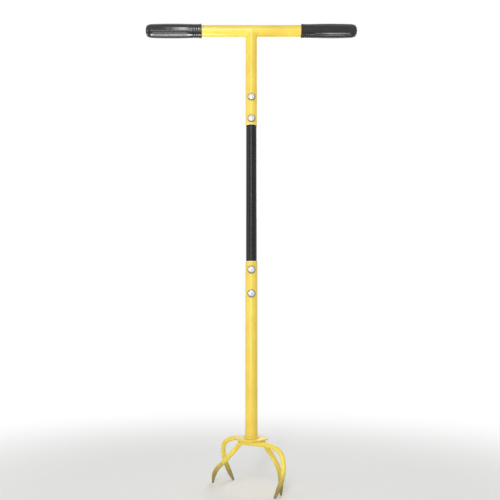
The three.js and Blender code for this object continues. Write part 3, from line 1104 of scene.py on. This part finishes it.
@dataclass
class Handle:
    """The T of the handle: the crossbar, the coped stem and the weld in both corners."""

    finishes: Finishes
    stock: TubeStock = field(default_factory=lambda: TubeStock(12.5, 1.0))
    holes: BoltHoles = field(default_factory=BoltHoles)
    axis_height: float = field(default_factory=lambda: sum(packed_span("crossbar_tube", 2)) / 2)
    corner_leg: float = 5.0
    front_leg: float = 8.5
    weld_lift: float = 0.02
    weld_steps: int = 64
    weld_arc_steps: int = 10
    weld_sharp_angle: float = 60.0
    cope_depth: float = 0.5
    cope_reach: float = 1.0

    def build(self) -> None:
        """Builds and dresses the pieces of the handle."""
        coat, stock = self.finishes.yellow, self.stock
        bar = turned_mesh("bar", stock.profile(*packed_span("crossbar_tube", 0)), stock.sides)
        lay(bar, (0, 0, self.axis_height), Axis.RIGHT)
        place_piece("crossbar", bar, coat, "crossbar_tube")
        place_piece("handle_stem", self.stem(), coat, "handle_stem_tube")
        for side in Side:
            name = f"{side.label}_handle"
            place_piece(f"{name}_fillet", self.fillet(side), coat, f"{name}_weld")

    def stem(self) -> Mesh:
        """Makes the stem, cut at its top to the crossbar's round and drilled for its bolts.

        Returns:
            The mesh.
        """
        low, top = packed_span("handle_stem_tube", 2)[0], self.axis_height
        cope = self.stock.radius - self.cope_depth
        bolts = [BoltPlace.HANDLE_UPPER.height(), BoltPlace.HANDLE_LOWER.height()]
        skin, rings = Skin(), []
        for radius, height in self.stock.profile(low, top, self.holes.rings(bolts)):
            ring = circle_points(radius, height, self.stock.sides)
            if height >= top - self.cope_reach:
                kept = radius if radius < cope else self.stock.radius
                for point in ring:
                    point.xy = point.xy.normalized() * kept
                    point.z = top - math.sqrt(max(cope ** 2 - point.y ** 2, 0.0))
            rings.append(ring)
        skin.loft(rings, closed=True)
        stem = self.holes.drill(skin.mesh("handle_stem"), bolts)
        self.stock.mark_ends(stem, low, top + self.stock.radius)
        return stem

    def fillet(self, side: Side) -> Mesh:
        """Makes the weld round one half of the joint, ground to a hollow that is widest in front.

        Args:
            side: Side of the stem.

        Returns:
            The mesh.
        """
        radius = self.stock.radius + self.weld_lift
        buried = self.stock.radius - self.stock.wall / 2
        skin = Skin()
        rings: list[list[Vector]] = []
        for step in range(self.weld_steps + 1):
            turn = math.pi * (step / self.weld_steps - 0.5)
            across, back = math.cos(turn), math.sin(turn)
            leg = mix(self.corner_leg, self.front_leg, back * back)
            on_stem = Vector((radius * across, radius * back, -radius * across - leg))
            on_bar = Vector((radius * across + leg, radius * back, -radius * across))
            corner = on_stem + Vector((back * back, -back * across, 1)) * (leg / (1 + back * back))
            ring = [Vector((buried * across, buried * back, -buried * across))]
            for k in range(self.weld_arc_steps + 1):
                share = k / self.weld_arc_steps
                ring.append(on_stem.lerp(corner, share).lerp(corner.lerp(on_bar, share), share))
            rings.append(ring)
        ends = [[Vector((0, place * radius, 0))] for place in (-1, 1)]
        skin.loft([ends[0], *rings, ends[1]])
        for point in skin.points:
            point.x *= side.value
            point.z += self.axis_height
        return skin.mesh(f"{side.label}_fillet", self.weld_sharp_angle)


@dataclass
class Grip:
    """One vinyl grip: a closed sleeve with a mouth flange, ring grooves and lengthwise flutes."""

    finishes: Finishes
    side: Side
    flutes: GrowthTree
    axis_height: float
    bore: float = 12.55
    mouth_bevel: Pair = (0.5, 1.2)
    mouth_ease: float = 0.25
    flange_radius: float = 15.3
    flange_width: float = 3.6
    flange_lip: float = 0.8
    flange_foot: float = 0.2
    neck_radius: float = 14.7
    body_radius: float = 15.3
    end_radius: float = 14.5
    neck_length: float = 24.0
    dome_length: float = 13.0
    dome_steps: int = 16
    end_wall: float = 3.5
    flat_share: float = 0.42
    flute_turn: float = 0.62
    # Twelve faces to each of the fourteen flutes.
    sides: int = 14 * 12
    body_step: float = 0.75
    fine_length: float = 18.0

    def build(self) -> None:
        """Builds and dresses the grip."""
        name = f"{self.side.label}_grip"
        start, end = sorted(abs(place) for place in packed_span(name, 0))
        length = end - start
        dressing = self.finishes.vinyl
        mesh = turned_mesh(name, self.profile(length), self.sides, ROUND_SHARP_ANGLE)
        mesh = self.flutes.grow(mesh, dressing.materials[0], {
            "Flute End": (length - self.dome_length) * MM,
            "Flute Start": (self.flange_width + self.neck_length) * MM,
            "Ring Start": self.flange_width * MM, "Turn": self.flute_turn,
        })
        lay(mesh, (self.side.value * start, 0, self.axis_height), Axis[self.side.name])
        place_piece(f"{self.side.label}_vinyl_grip", mesh, dressing, name)

    def outer_radius(self, place: float, length: float) -> float:
        """Gives the sleeve's radius before flutes and grooves.

        Args:
            place: Distance from the mouth.
            length: Length of the grip.

        Returns:
            The radius.
        """
        body_start = self.flange_width + self.neck_length
        share = (place - body_start) / (length - self.dome_length - body_start)
        if share <= 0:
            return self.neck_radius
        swell = (self.body_radius - self.neck_radius) * math.sin(math.pi * share)
        return mix(self.neck_radius, self.end_radius, share) + swell

    def profile(self, length: float) -> list[Pair]:
        """Lays out the sleeve from its bore, over the mouth and skin, to its closed end and back.

        Args:
            length: Length of the grip.

        Returns:
            Pairs of radius and distance from the mouth, from axis to axis.
        """
        lip, rim = self.flange_lip, self.flange_radius - self.flange_lip
        inner_end = length - self.end_wall
        outline = [(0, inner_end), (self.bore, inner_end), (self.bore, self.mouth_bevel[1])]
        outline += [(self.bore + self.mouth_bevel[0], self.mouth_ease), (rim, 0)]
        outline += rounded_corner((rim, lip), -90, lip)[1:]
        outline += rounded_corner((rim, self.flange_width - lip), 0, lip)
        place, dome_start = self.flange_width + self.flange_foot, length - self.dome_length
        while place < dome_start:
            outline.append((self.outer_radius(place, length), place))
            coarse = place > self.flange_width + self.fine_length
            place += self.body_step if coarse else self.body_step / 2
        for k in range(self.dome_steps + 1):
            turn = math.pi / 2 * k / self.dome_steps
            radius = self.end_radius * mix(self.flat_share, 1, math.cos(turn))
            outline.append((radius, dome_start + self.dome_length * math.sin(turn)))
        return [*outline, (0, length)]


@dataclass
class ShaftTubes:
    """The black middle tube and the yellow lower tube."""

    finishes: Finishes
    lower_stock: TubeStock = field(default_factory=lambda: TubeStock(12.5, 1.0))
    middle_stock: TubeStock = field(default_factory=lambda: TubeStock(11.2, 1.2))
    holes: BoltHoles = field(default_factory=BoltHoles)

    def build(self) -> None:
        """Builds and dresses both tubes."""
        black, yellow = self.finishes.black, self.finishes.yellow
        foot = (BoltPlace.FOOT_UPPER, BoltPlace.FOOT_LOWER)
        for name, node, stock, places, dressing in (
            ("black_shaft_tube", "middle_tube", self.middle_stock, BoltPlace, black),
            ("yellow_shaft_tube", "lower_tube", self.lower_stock, foot, yellow),
        ):
            low, high = packed_span(node, 2)
            heights = [place.height() for place in places]
            outline = stock.profile(low, high, self.holes.rings(heights))
            tube = self.holes.drill(turned_mesh(name, outline, stock.sides), heights)
            stock.mark_ends(tube, low, high)
            place_piece(name, tube, dressing, node)


# ---------------------------------------------------------------------------- fasteners


@dataclass
class BoltSet:
    """One carriage bolt with its washer and lock nut, made once and set at each place."""

    finishes: Finishes
    thread: GrowthTree
    head_radius: float = 8.0
    head_height: float = 3.9
    head_rim: float = 0.9
    head_ease: float = 0.2
    head_corner: float = 0.15
    head_edge_share: float = 0.985
    dome_steps: int = 14
    rim_mark: float = 1.6
    rim_mark_start: float = 0.3
    head_mark_top: float = 0.1
    centre_mark: float = 1.6
    centre_mark_radius: float = 1.2
    neck_side: float = 5.9
    neck_length: float = 3.4
    neck_corner: float = 0.5
    neck_root: float = 0.3
    neck_end_share: float = 0.92
    shank_radius: float = 3.0
    bolt_sides: int = 48
    length: float = 35.0
    end_chamfer: float = 0.7
    thread_start: float = 13.0
    thread_rings_per_turn: int = 12
    nut_sides: int = 96
    across_flats: float = 10.0
    face_share: float = 0.95
    chamfer_angle: float = 30.0
    hex_height: float = 4.6
    collar_radius: float = 4.3
    nut_height: float = 6.0
    nut_bore: float = 3.15
    # Each pair is a distance across and a distance along the axis.
    bore_bevel: Pair = (0.45, 0.5)
    collar_foot: Pair = (0.15, 0.2)
    collar_round: tuple[Pair, ...] = ((0.0, 0.5), (0.12, 0.15), (0.4, 0.0))
    nylon_edge: Pair = (0.75, 0.12)
    nylon_round: Pair = (0.12, 0.5)
    nylon_sink: float = 0.35
    nylon_depth: float = 1.9
    washer_bevels: tuple[Pair, Pair] = ((0.15, 0.1), (0.35, 0.3))
    washer_radius: float = 6.0
    washer_bore: float = 3.25
    washer_thickness: float = 1.6
    washer_lip: float = 0.25
    washer_sides: int = 64

    def build(self) -> None:
        """Builds the three parts and sets a copy of each at every place."""
        parts = (
            ("carriage_bolt", "bolt", self.bolt(), self.finishes.zinc),
            ("flat_washer", "washer", self.washer(), self.finishes.zinc),
            ("lock_nut", "nut", self.nut(), self.finishes.lock_nut),
        )
        for place in BoltPlace:
            for label, node_part, model, dressing in parts:
                node = f"{place.value}_{node_part}"
                low, high = packed_span(node, 1)
                on_tool = node_part == "bolt"
                seat = high - self.length if on_tool else low
                mesh = lay(model.copy(), (0, seat, place.height()), Axis.BACK)
                body = TOOL_BODY if on_tool else node
                place_piece(f"{place.value}_{label}", mesh, dressing, node, body)

    def bolt(self) -> Mesh:
        """Makes the bolt on the Z axis, with the underside of its head at z = 0.

        Returns:
            The mesh, with its neck and its marks.
        """
        dome = self.head_height - self.head_rim
        ball = (self.head_radius ** 2 + dome ** 2) / (2 * dome)
        spread = math.asin(self.head_radius / ball)
        outline: list[Pair] = [(0, -self.head_height)]
        for k in range(1, self.dome_steps + 1):
            turn = spread * k / self.dome_steps
            edge = self.head_edge_share if k == self.dome_steps else 1
            across, down = ball * math.sin(turn) * edge, ball * (1 - math.cos(turn))
            outline.append((across, down - self.head_height))
        outline += [
            (self.head_radius, self.head_ease - self.head_rim),
            (self.head_radius, -self.head_corner), (self.head_radius - self.head_ease, 0),
            (self.shank_radius, 0), (self.shank_radius, self.neck_length),
        ]
        per_turn = self.thread_rings_per_turn
        rings = round((self.length - self.end_chamfer - self.thread_start) * per_turn)
        outline += [(self.shank_radius, self.thread_start + k / per_turn) for k in range(rings + 1)]
        outline += [(self.shank_radius - self.end_chamfer, self.length), (0, self.length)]
        body = turned_mesh("bolt", outline, self.bolt_sides)
        body = self.thread.grow(body, self.finishes.zinc.materials[0], {
            "Thread Start": self.thread_start * MM,
            "Thread End": (self.length - self.end_chamfer / 2) * MM,
            "Shank Radius": self.shank_radius * MM,
        }, SHARP_ANGLE)
        bolt = combine(body, [self.neck()], Joining.UNITE)
        # Painted contact shade round the head's rim.
        mark_points(bolt, RIM_MARK, self.rim_shade_share)
        # Painted reflection of the camera at the head's centre.
        mark_points(bolt, CENTRE_MARK, self.camera_reflection_share)
        return bolt

    def neck(self) -> Mesh:
        """Makes the square neck that keeps the bolt from turning.

        Returns:
            The mesh.
        """
        half, corner = self.neck_side / 2, self.neck_corner
        outline, skin = [], Skin()
        for x, y in ((1, 1), (-1, 1), (-1, -1), (1, -1)):
            near = Vector((x * half, y * (half - corner)))
            far = Vector((x * (half - corner), y * half))
            outline += [near, far] if x * y > 0 else [far, near]
        low, high = -self.neck_root, self.neck_length
        heights = ((low, 1.0), (high - corner, 1.0), (high, self.neck_end_share))
        rings = [
            [Vector((p.x * size, p.y * size, height)) for p in outline] for height, size in heights
        ]
        skin.loft([[Vector((0, 0, low))], *rings, [Vector((0, 0, high))]])
        return skin.mesh("neck")

    def rim_shade_share(self, point: Vector) -> float:
        """Share of painted contact shade at a place: full at the rim of the head and none on the
        rest.
        """
        inside = (point.xy.length - self.head_radius + self.rim_mark) / self.rim_mark
        return smooth_step(inside + self.rim_mark_start if point.z < self.head_mark_top else 0)

    def camera_reflection_share(self, point: Vector) -> float:
        """Share of the painted reflection of the camera at a place: full at the centre of the head.
        """
        outside = (point.xy.length - self.centre_mark_radius) / self.centre_mark
        return 1 - smooth_step(outside if point.z < 0 else 1)

    def washer(self) -> Mesh:
        """Makes the washer on the Z axis from z = 0 up.

        Returns:
            The mesh.
        """
        lip, top, bore = self.washer_lip, self.washer_thickness, self.washer_bore
        edge = self.washer_radius - lip
        (low_across, low_up), (high_across, high_down) = self.washer_bevels
        outline = [(bore, low_up), (bore + low_across, 0)]
        outline += rounded_corner((edge, lip), -90, lip)
        outline += rounded_corner((edge, top - lip), 0, lip)
        outline += [(bore + high_across, top), (bore, top - high_down)]
        return turned_mesh("washer", outline, self.washer_sides)

    def hex_ring(self, height: float, upwards: int, face_radius: float) -> list[Vector]:
        """Gives the edge of the flats, where the chamfer's cone meets them.

        Args:
            height: Height of the nut's face.
            upwards: 1 for the lower face and -1 for the upper one.
            face_radius: Radius of the face inside the chamfer.

        Returns:
            The points.
        """
        ring, sixth = [], math.pi / 3
        slope = math.tan(math.radians(self.chamfer_angle))
        for k in range(self.nut_sides):
            turn = FULL_TURN * k / self.nut_sides
            radius = self.across_flats / 2 / math.cos((turn - sixth / 2) % sixth - sixth / 2)
            edge = height + upwards * (radius - face_radius) * slope
            ring.append(Vector((radius * math.cos(turn), radius * math.sin(turn), edge)))
        return ring

    def nut(self) -> Mesh:
        """Makes the lock nut on the Z axis from z = 0 up, with its nylon ring.

        Returns:
            The mesh, with the nylon's faces in the second material place.
        """
        face = self.across_flats / 2 * self.face_share
        bore, collar = self.nut_bore, self.collar_radius
        deck, top = self.hex_height, self.nut_height
        nylon, sunk = collar - self.nylon_edge[0], top - self.nylon_sink
        under = ((bore, self.bore_bevel[1]), (bore + self.bore_bevel[0], 0), (face, 0))
        steel = (
            (face, deck), (collar + self.collar_foot[0], deck),
            (collar, deck + self.collar_foot[1]),
            *((collar - inwards, top - down) for inwards, down in self.collar_round),
            (nylon, top - self.nylon_edge[1]),
        )
        insert = (
            (nylon, sunk), (bore + self.nylon_round[0], sunk), (bore, top - self.nylon_round[1]),
            (bore, top - self.nylon_depth),
        )
        hexagon = [self.hex_ring(0, 1, face), self.hex_ring(deck, -1, face)]
        before, after = (
            [circle_points(radius, height, self.nut_sides) for radius, height in outline]
            for outline in (under, steel + insert)
        )
        steel_bands = len(under) + len(hexagon) + len(steel)
        bands = [0] * steel_bands + [1] * (len(insert) - 1) + [0]
        skin = Skin()
        skin.loft([*before, *hexagon, *after], closed=True, finishes=bands)
        return skin.mesh("nut")


# ---------------------------------------------------------------------------- claw


class BarPlace(Enum):
    """The two tine bars, with the factor that the rear one's half turn about the shaft gives."""

    FRONT = 1
    REAR = -1


class BeadPlace(Enum):
    """The two sides of a bar that are welded, away from the shaft's axis and towards it."""

    OUTER = 1
    INNER = -1


# Way of the tine bars, from the tip of the sloping tine to the tip of the arched tine. Each row is
# a share of the claw's radius to the right for the front bar, the same for the rear bar before its
# half turn about the shaft, a share of the radius away from the front, and a share of the drop to
# the ground.
TINE_WAY_SHARES = (
    (-0.852, -0.603, 0.523, 1),
    (-0.824, -0.609, 0.484, 0.826),
    (-0.769, -0.604, 0.426, 0.695),
    (-0.681, -0.587, 0.335, 0.577),
    (-0.571, -0.541, 0.213, 0.452),
    (-0.46, -0.452, 0.08, 0.31),
    (-0.332, -0.332, -0.032, 0.147),
    (-0.221, -0.221, -0.115, 0.014),
    (-0.054, -0.054, -0.202, 0),
    (0.152, 0.152, -0.311, 0),
    (0.389, 0.389, -0.45, 0.009),
    (0.585, 0.582, -0.565, 0.113),
    (0.651, 0.63, -0.681, 0.339),
    (0.619, 0.572, -0.754, 0.616),
    (0.538, 0.481, -0.765, 0.837),
    (0.462, 0.399, -0.747, 1),
)


def even_steps(line: Sequence[Vector], count: int) -> list[Vector]:
    """Divides a line of points into even steps.

    Args:
        line: The points.
        count: Number of steps.

    Returns:
        One point more than steps.
    """
    ways = [0.0]
    for a, b in zip(line, line[1:]):
        ways.append(ways[-1] + (b - a).length)
    result, k = [], 0
    for step in range(count + 1):
        target = ways[-1] * step / count
        while k < len(line) - 2 and ways[k + 1] < target:
            k += 1
        share = (target - ways[k]) / max(ways[k + 1] - ways[k], SMALLEST_STEP)
        result.append(line[k].lerp(line[k + 1], min(share, 1.0)))
    return result


def line_mesh(points: Sequence[Vector], closed: bool = False) -> Mesh:
    """Makes a mesh of points joined by edges.

    Args:
        points: The points, in millimetres.
        closed: Whether the last point joins the first one.

    Returns:
        The mesh, in metres.
    """
    edges = [(k, k + 1) for k in range(len(points) - 1)]
    if closed:
        edges.append((len(points) - 1, 0))
    mesh = bpy.data.meshes.new("line")
    mesh.from_pydata([point * MM for point in points], edges, [])
    return mesh


@dataclass
class TineBar:
    """One bent round bar, whose two drawn-down ends are tines."""

    place: BarPlace
    seat_height: float
    claw_radius: float = 94.0
    radius: float = 4.75
    tip_length: float = 26.0
    tip_radius: float = 1.8
    steps: int = 220
    knot_steps: int = 40
    sides: int = 28
    sharp_angle: float = 45.0

    @property
    def label(self) -> str:
        """The bar's place as the names of pieces say it."""
        return self.place.name.lower()

    def knots(self) -> list[Vector]:
        """Points that the bar's centre line goes through, on the tool."""
        is_front, reach = self.place is BarPlace.FRONT, self.place.value * self.claw_radius
        return [
            Vector((
                reach * (front if is_front else rear), reach * away, self.seat_height * (1 - drop),
            ))
            for front, rear, away, drop in TINE_WAY_SHARES
        ]

    def centre_line(self) -> list[Vector]:
        """Walks along the centre line, a smooth curve through the knots, in even steps.

        Returns:
            The points, one more than steps.
        """
        knots = self.knots()
        knots = [knots[0] * 2 - knots[1], *knots, knots[-1] * 2 - knots[-2]]
        dense: list[Vector] = []
        for before, start, end, after in zip(knots, knots[1:], knots[2:], knots[3:]):
            first, gap, last = (
                math.sqrt((b - a).length) for a, b in ((before, start), (start, end), (end, after))
            )
            leave = (start - before) / first - (end - before) / (first + gap) + (end - start) / gap
            arrive = (end - start) / gap - (after - start) / (gap + last) + (after - end) / last
            leave, arrive = leave * gap, arrive * gap
            for step in range(self.knot_steps):
                t = step / self.knot_steps
                dense.append(
                    start * (2 * t ** 3 - 3 * t ** 2 + 1) + leave * (t ** 3 - 2 * t ** 2 + t)
                    + end * (3 * t ** 2 - 2 * t ** 3) + arrive * (t ** 3 - t ** 2)
                )
        dense.append(knots[-2])
        return even_steps(dense, self.steps)

    def thickness(self, from_tip: float) -> float:
        """Radius of the bar at a distance from its nearer tip."""
        share = min(from_tip / self.tip_length, 1)
        return mix(self.tip_radius, self.radius, math.sin(share * math.pi / 2))

    def mesh(self, plate_radius: float, plate_bottom: float) -> Mesh:
        """Makes the bar, with its tips ground flat on the floor and its seat flat under the plate.

        Args:
            plate_radius: Radius of the plate above the bar.
            plate_bottom: Height of the plate's underside.

        Returns:
            The mesh.
        """
        line = self.centre_line()
        length = sum((b - a).length for a, b in zip(line, line[1:]))
        skin = Skin()
        rings: list[list[Vector]] = []
        normal = Vector((0, 0, 1)).cross(line[1] - line[0]).normalized()
        for k, centre in enumerate(line):
            heading = (line[min(k + 1, self.steps)] - line[max(k - 1, 0)]).normalized()
            normal = (normal - heading * normal.dot(heading)).normalized()
            sideways = heading.cross(normal)
            radius = self.thickness(min(k, self.steps - k) / self.steps * length)
            ring = []
            for side in range(self.sides):
                turn = FULL_TURN * side / self.sides
                out, aside = radius * math.cos(turn), radius * math.sin(turn)
                point = centre + normal * out + sideways * aside
                point.z = max(point.z, 0.0)
                if point.xy.length < plate_radius:
                    point.z = min(point.z, plate_bottom)
                ring.append(point)
            rings.append(ring)
        tips = [[Vector((line[k].x, line[k].y, max(line[k].z, 0.0)))] for k in (0, -1)]
        skin.loft([tips[0], *rings, tips[1]])
        return skin.mesh(self.label, self.sharp_angle)

    def weld_line(self, bead: BeadPlace, length: float, height: float) -> list[Vector]:
        """Gives the line of the weld between one side of the bar and the plate.

        Args:
            bead: Side of the bar.
            length: Length of the weld.
            height: Height of the line.

        Returns:
            Points along the line.
        """
        line = self.centre_line()
        k = min(range(len(line)), key=lambda place: line[place].xy.length)
        way = 0.0
        while way < length / 2:
            way += (line[k] - line[k - 1]).length
            k -= 1
        points: list[Vector] = []
        way = 0.0
        while way < length:
            heading = (line[k + 1] - line[k - 1]).to_2d().normalized()
            across = Vector((heading.y, -heading.x, 0)) * (bead.value * self.radius)
            points.append(Vector((line[k].x, line[k].y, height)) + across)
            way += (line[k + 1] - line[k]).length
            k += 1
        return points


@dataclass
class Claw:
    """The round plate at the shaft's foot and the two tine bars welded under it."""

    finishes: Finishes
    bead: GrowthTree
    plate_bottom: float = field(default_factory=lambda: packed_span("base_plate", 2)[0])
    plate_top: float = field(default_factory=lambda: packed_span("base_plate", 2)[1])
    plate_radius: float = 34.0
    plate_edge: float = 0.9
    plate_edge_steps: int = 6
    plate_sides: int = 128
    face_ring_share: float = 0.5
    shaft_radius: float = 12.5
    foot_bead_offset: Pair = (0.4, 0.2)
    foot_bead_steps: int = 96
    bead_radius: float = 3.2
    bead_sink_share: float = 0.35
    bar_weld_length: float = 36.0
    seat_gap: float = 0.3

    def build(self) -> None:
        """Builds and dresses the claw."""
        self.build_plate()
        self.build_foot_weld()
        seat = self.plate_bottom - self.seat_gap
        dressing = self.finishes.tine
        for bar in (TineBar(place, seat - TineBar.radius) for place in BarPlace):
            mesh = bar.mesh(self.plate_radius, self.plate_bottom - self.seat_gap / 2)
            place_piece(f"{bar.label}_tines", mesh, dressing, f"{bar.label}_tine_bar")
            for place in BeadPlace:
                height = seat - self.bead_radius * self.bead_sink_share
                line = line_mesh(bar.weld_line(place, self.bar_weld_length, height))
                size = {"Bead Radius": self.bead_radius * MM}
                bead = self.bead.grow(line, dressing.materials[0], size)
                name = f"{bar.label}_bar_{place.name.lower()}"
                place_piece(f"{name}_bead", bead, dressing, f"{name}_weld")

    def build_plate(self) -> None:
        """Builds the plate, blanked from sheet, with its edge rolled by the press and the coat."""
        edge, steps = self.plate_edge, self.plate_edge_steps
        low, high, rim = self.plate_bottom, self.plate_top, self.plate_radius - edge
        inner = rim * self.face_ring_share
        outline = [(0, low), (inner, low)]
        outline += rounded_corner((rim, low + edge), -90, edge, steps)
        outline += rounded_corner((rim, high - edge), 0, edge, steps)
        outline += [(inner, high), (0, high)]
        plate = turned_mesh("plate", outline, self.plate_sides)
        place_piece("foot_plate", plate, self.finishes.yellow, "base_plate")

    def build_foot_weld(self) -> None:
        """Builds the bead round the foot of the shaft."""
        out, up = self.foot_bead_offset
        ring = circle_points(self.shaft_radius + out, self.plate_top + up, self.foot_bead_steps)
        dressing = self.finishes.yellow
        bead = self.bead.grow(line_mesh(ring, closed=True), dressing.materials[0], {
            "Bead Radius": self.bead_radius * MM, "End Taper": 0.0,
        })
        place_piece("foot_bead", bead, dressing, "foot_weld")


# ---------------------------------------------------------------------------- studio


@dataclass(frozen=True)
class SoftLamp:
    """One soft lamp, which the camera doesn't see."""

    name: str
    place: Place
    target: Place
    size: Pair
    power: float
    spread: float = 180.0

    def build(self) -> None:
        """Sets the lamp up, aimed at its target."""
        data = bpy.data.lights.new(self.name, "AREA")
        data.shape = "RECTANGLE"
        data.size, data.size_y = self.size
        data.energy = self.power
        data.spread = math.radians(self.spread)
        lamp = linked_object(self.name, data)
        lamp.location = self.place
        aim = Vector(self.target) - Vector(self.place)
        lamp.rotation_euler = aim.to_track_quat("-Z", "Y").to_euler()
        lamp.visible_camera = False
        LOG.info("lamp %s: %.2f W", self.name, self.power)


@dataclass
class Studio:
    """Pale floor, white surroundings, soft lamps and the camera, with places in metres."""

    floor_half_width: float = 14.0
    floor_drop: float = 0.0002
    floor_paint: FloorPaint = FloorPaint("pale floor", "f3f3f2", 0.8, specular=0.2)
    sky_level: float = 0.48
    lens: float = 46.08
    sensor_width: float = 36.0
    clip: Pair = (0.01, 100.0)
    camera_place: Place = (0.0, -1.325, 0.3319)
    camera_tilt: float = 96.35
    camera_shift: Pair = (-0.0028, 0.001)
    lamps: tuple[SoftLamp, ...] = (
        SoftLamp("key", (-0.25, -2.15, 1.45), (0, 0, 0.6), (0.26, 1.3), 16),
        SoftLamp("low front", (-0.45, -1.9, 0.22), (0, 0, 0.6), (0.7, 0.7), 9.8),
        SoftLamp("left", (-2.1, -0.9, 0.9), (0, 0, 0.5), (0.8, 1.6), 6),
        SoftLamp("back", (0.5, 2.1, 1.6), (0, 0, 0.6), (1.2, 1.4), 17),
        # Two small cards under the grips give them the streak along their lower edge.
        SoftLamp("left card", (-0.29, 0, 0.14), (-0.24, 0, 1), (0.26, 0.3), 0.4, 50),
        SoftLamp("right card", (0.28, -0.08, 0.14), (0.24, 0, 1), (0.14, 0.16), 0.12, 50),
    )

    def build(self) -> None:
        """Sets the studio up."""
        bpy.context.scene.view_settings.view_transform = "Standard"
        self.build_world()
        self.build_floor()
        for lamp in self.lamps:
            lamp.build()
        self.build_camera()

    def build_camera(self) -> None:
        """Sets the camera up where the photograph was taken from."""
        data = bpy.data.cameras.new("camera")
        data.lens, data.sensor_width = self.lens, self.sensor_width
        data.shift_x, data.shift_y = self.camera_shift
        data.clip_start, data.clip_end = self.clip
        camera = linked_object("camera", data)
        camera.location = self.camera_place
        camera.rotation_euler = (math.radians(self.camera_tilt), 0, 0)
        bpy.context.scene.camera = camera

    def build_world(self) -> None:
        """Makes surroundings that look white and light the tool at a plain level."""
        world = bpy.data.worlds.new("white surroundings")
        world.use_nodes = True
        tree = world.node_tree
        tree.nodes.clear()
        light, shown = (
            add_node(tree, "ShaderNodeBackground", {"Color": linear("ffffff"), "Strength": level})
            for level in (self.sky_level, 1.0)
        )
        both = add_node(tree, "ShaderNodeMixShader", (seen_rays(tree), light, shown))
        add_node(tree, "ShaderNodeOutputWorld", {"Surface": both})
        bpy.context.scene.world = world

    def build_floor(self) -> None:
        """Makes the floor, which keeps the tool's shadow and fades to white far away."""
        half, drop = self.floor_half_width, -self.floor_drop
        mesh = bpy.data.meshes.new("floor")
        corners = [(x * half, y * half, drop) for x, y in ((-1, -1), (1, -1), (1, 1), (-1, 1))]
        mesh.from_pydata(corners, [], [(0, 1, 2, 3)])
        mesh.materials.append(self.floor_paint.build())
        linked_object("floor", mesh)


def main() -> None:
    """Builds the sub-assemblies in order and then the studio."""
    logging.basicConfig(level=logging.INFO, format="%(message)s")
    finishes = Finishes.build()
    handle = Handle(finishes)
    handle.build()
    flutes = flute_tree()
    for side in Side:
        Grip(finishes, side, flutes, handle.axis_height).build()
    ShaftTubes(finishes).build()
    BoltSet(finishes, thread_tree()).build()
    Claw(finishes, bead_tree()).build()
    Studio().build()


if __name__ == "__main__":
    main()
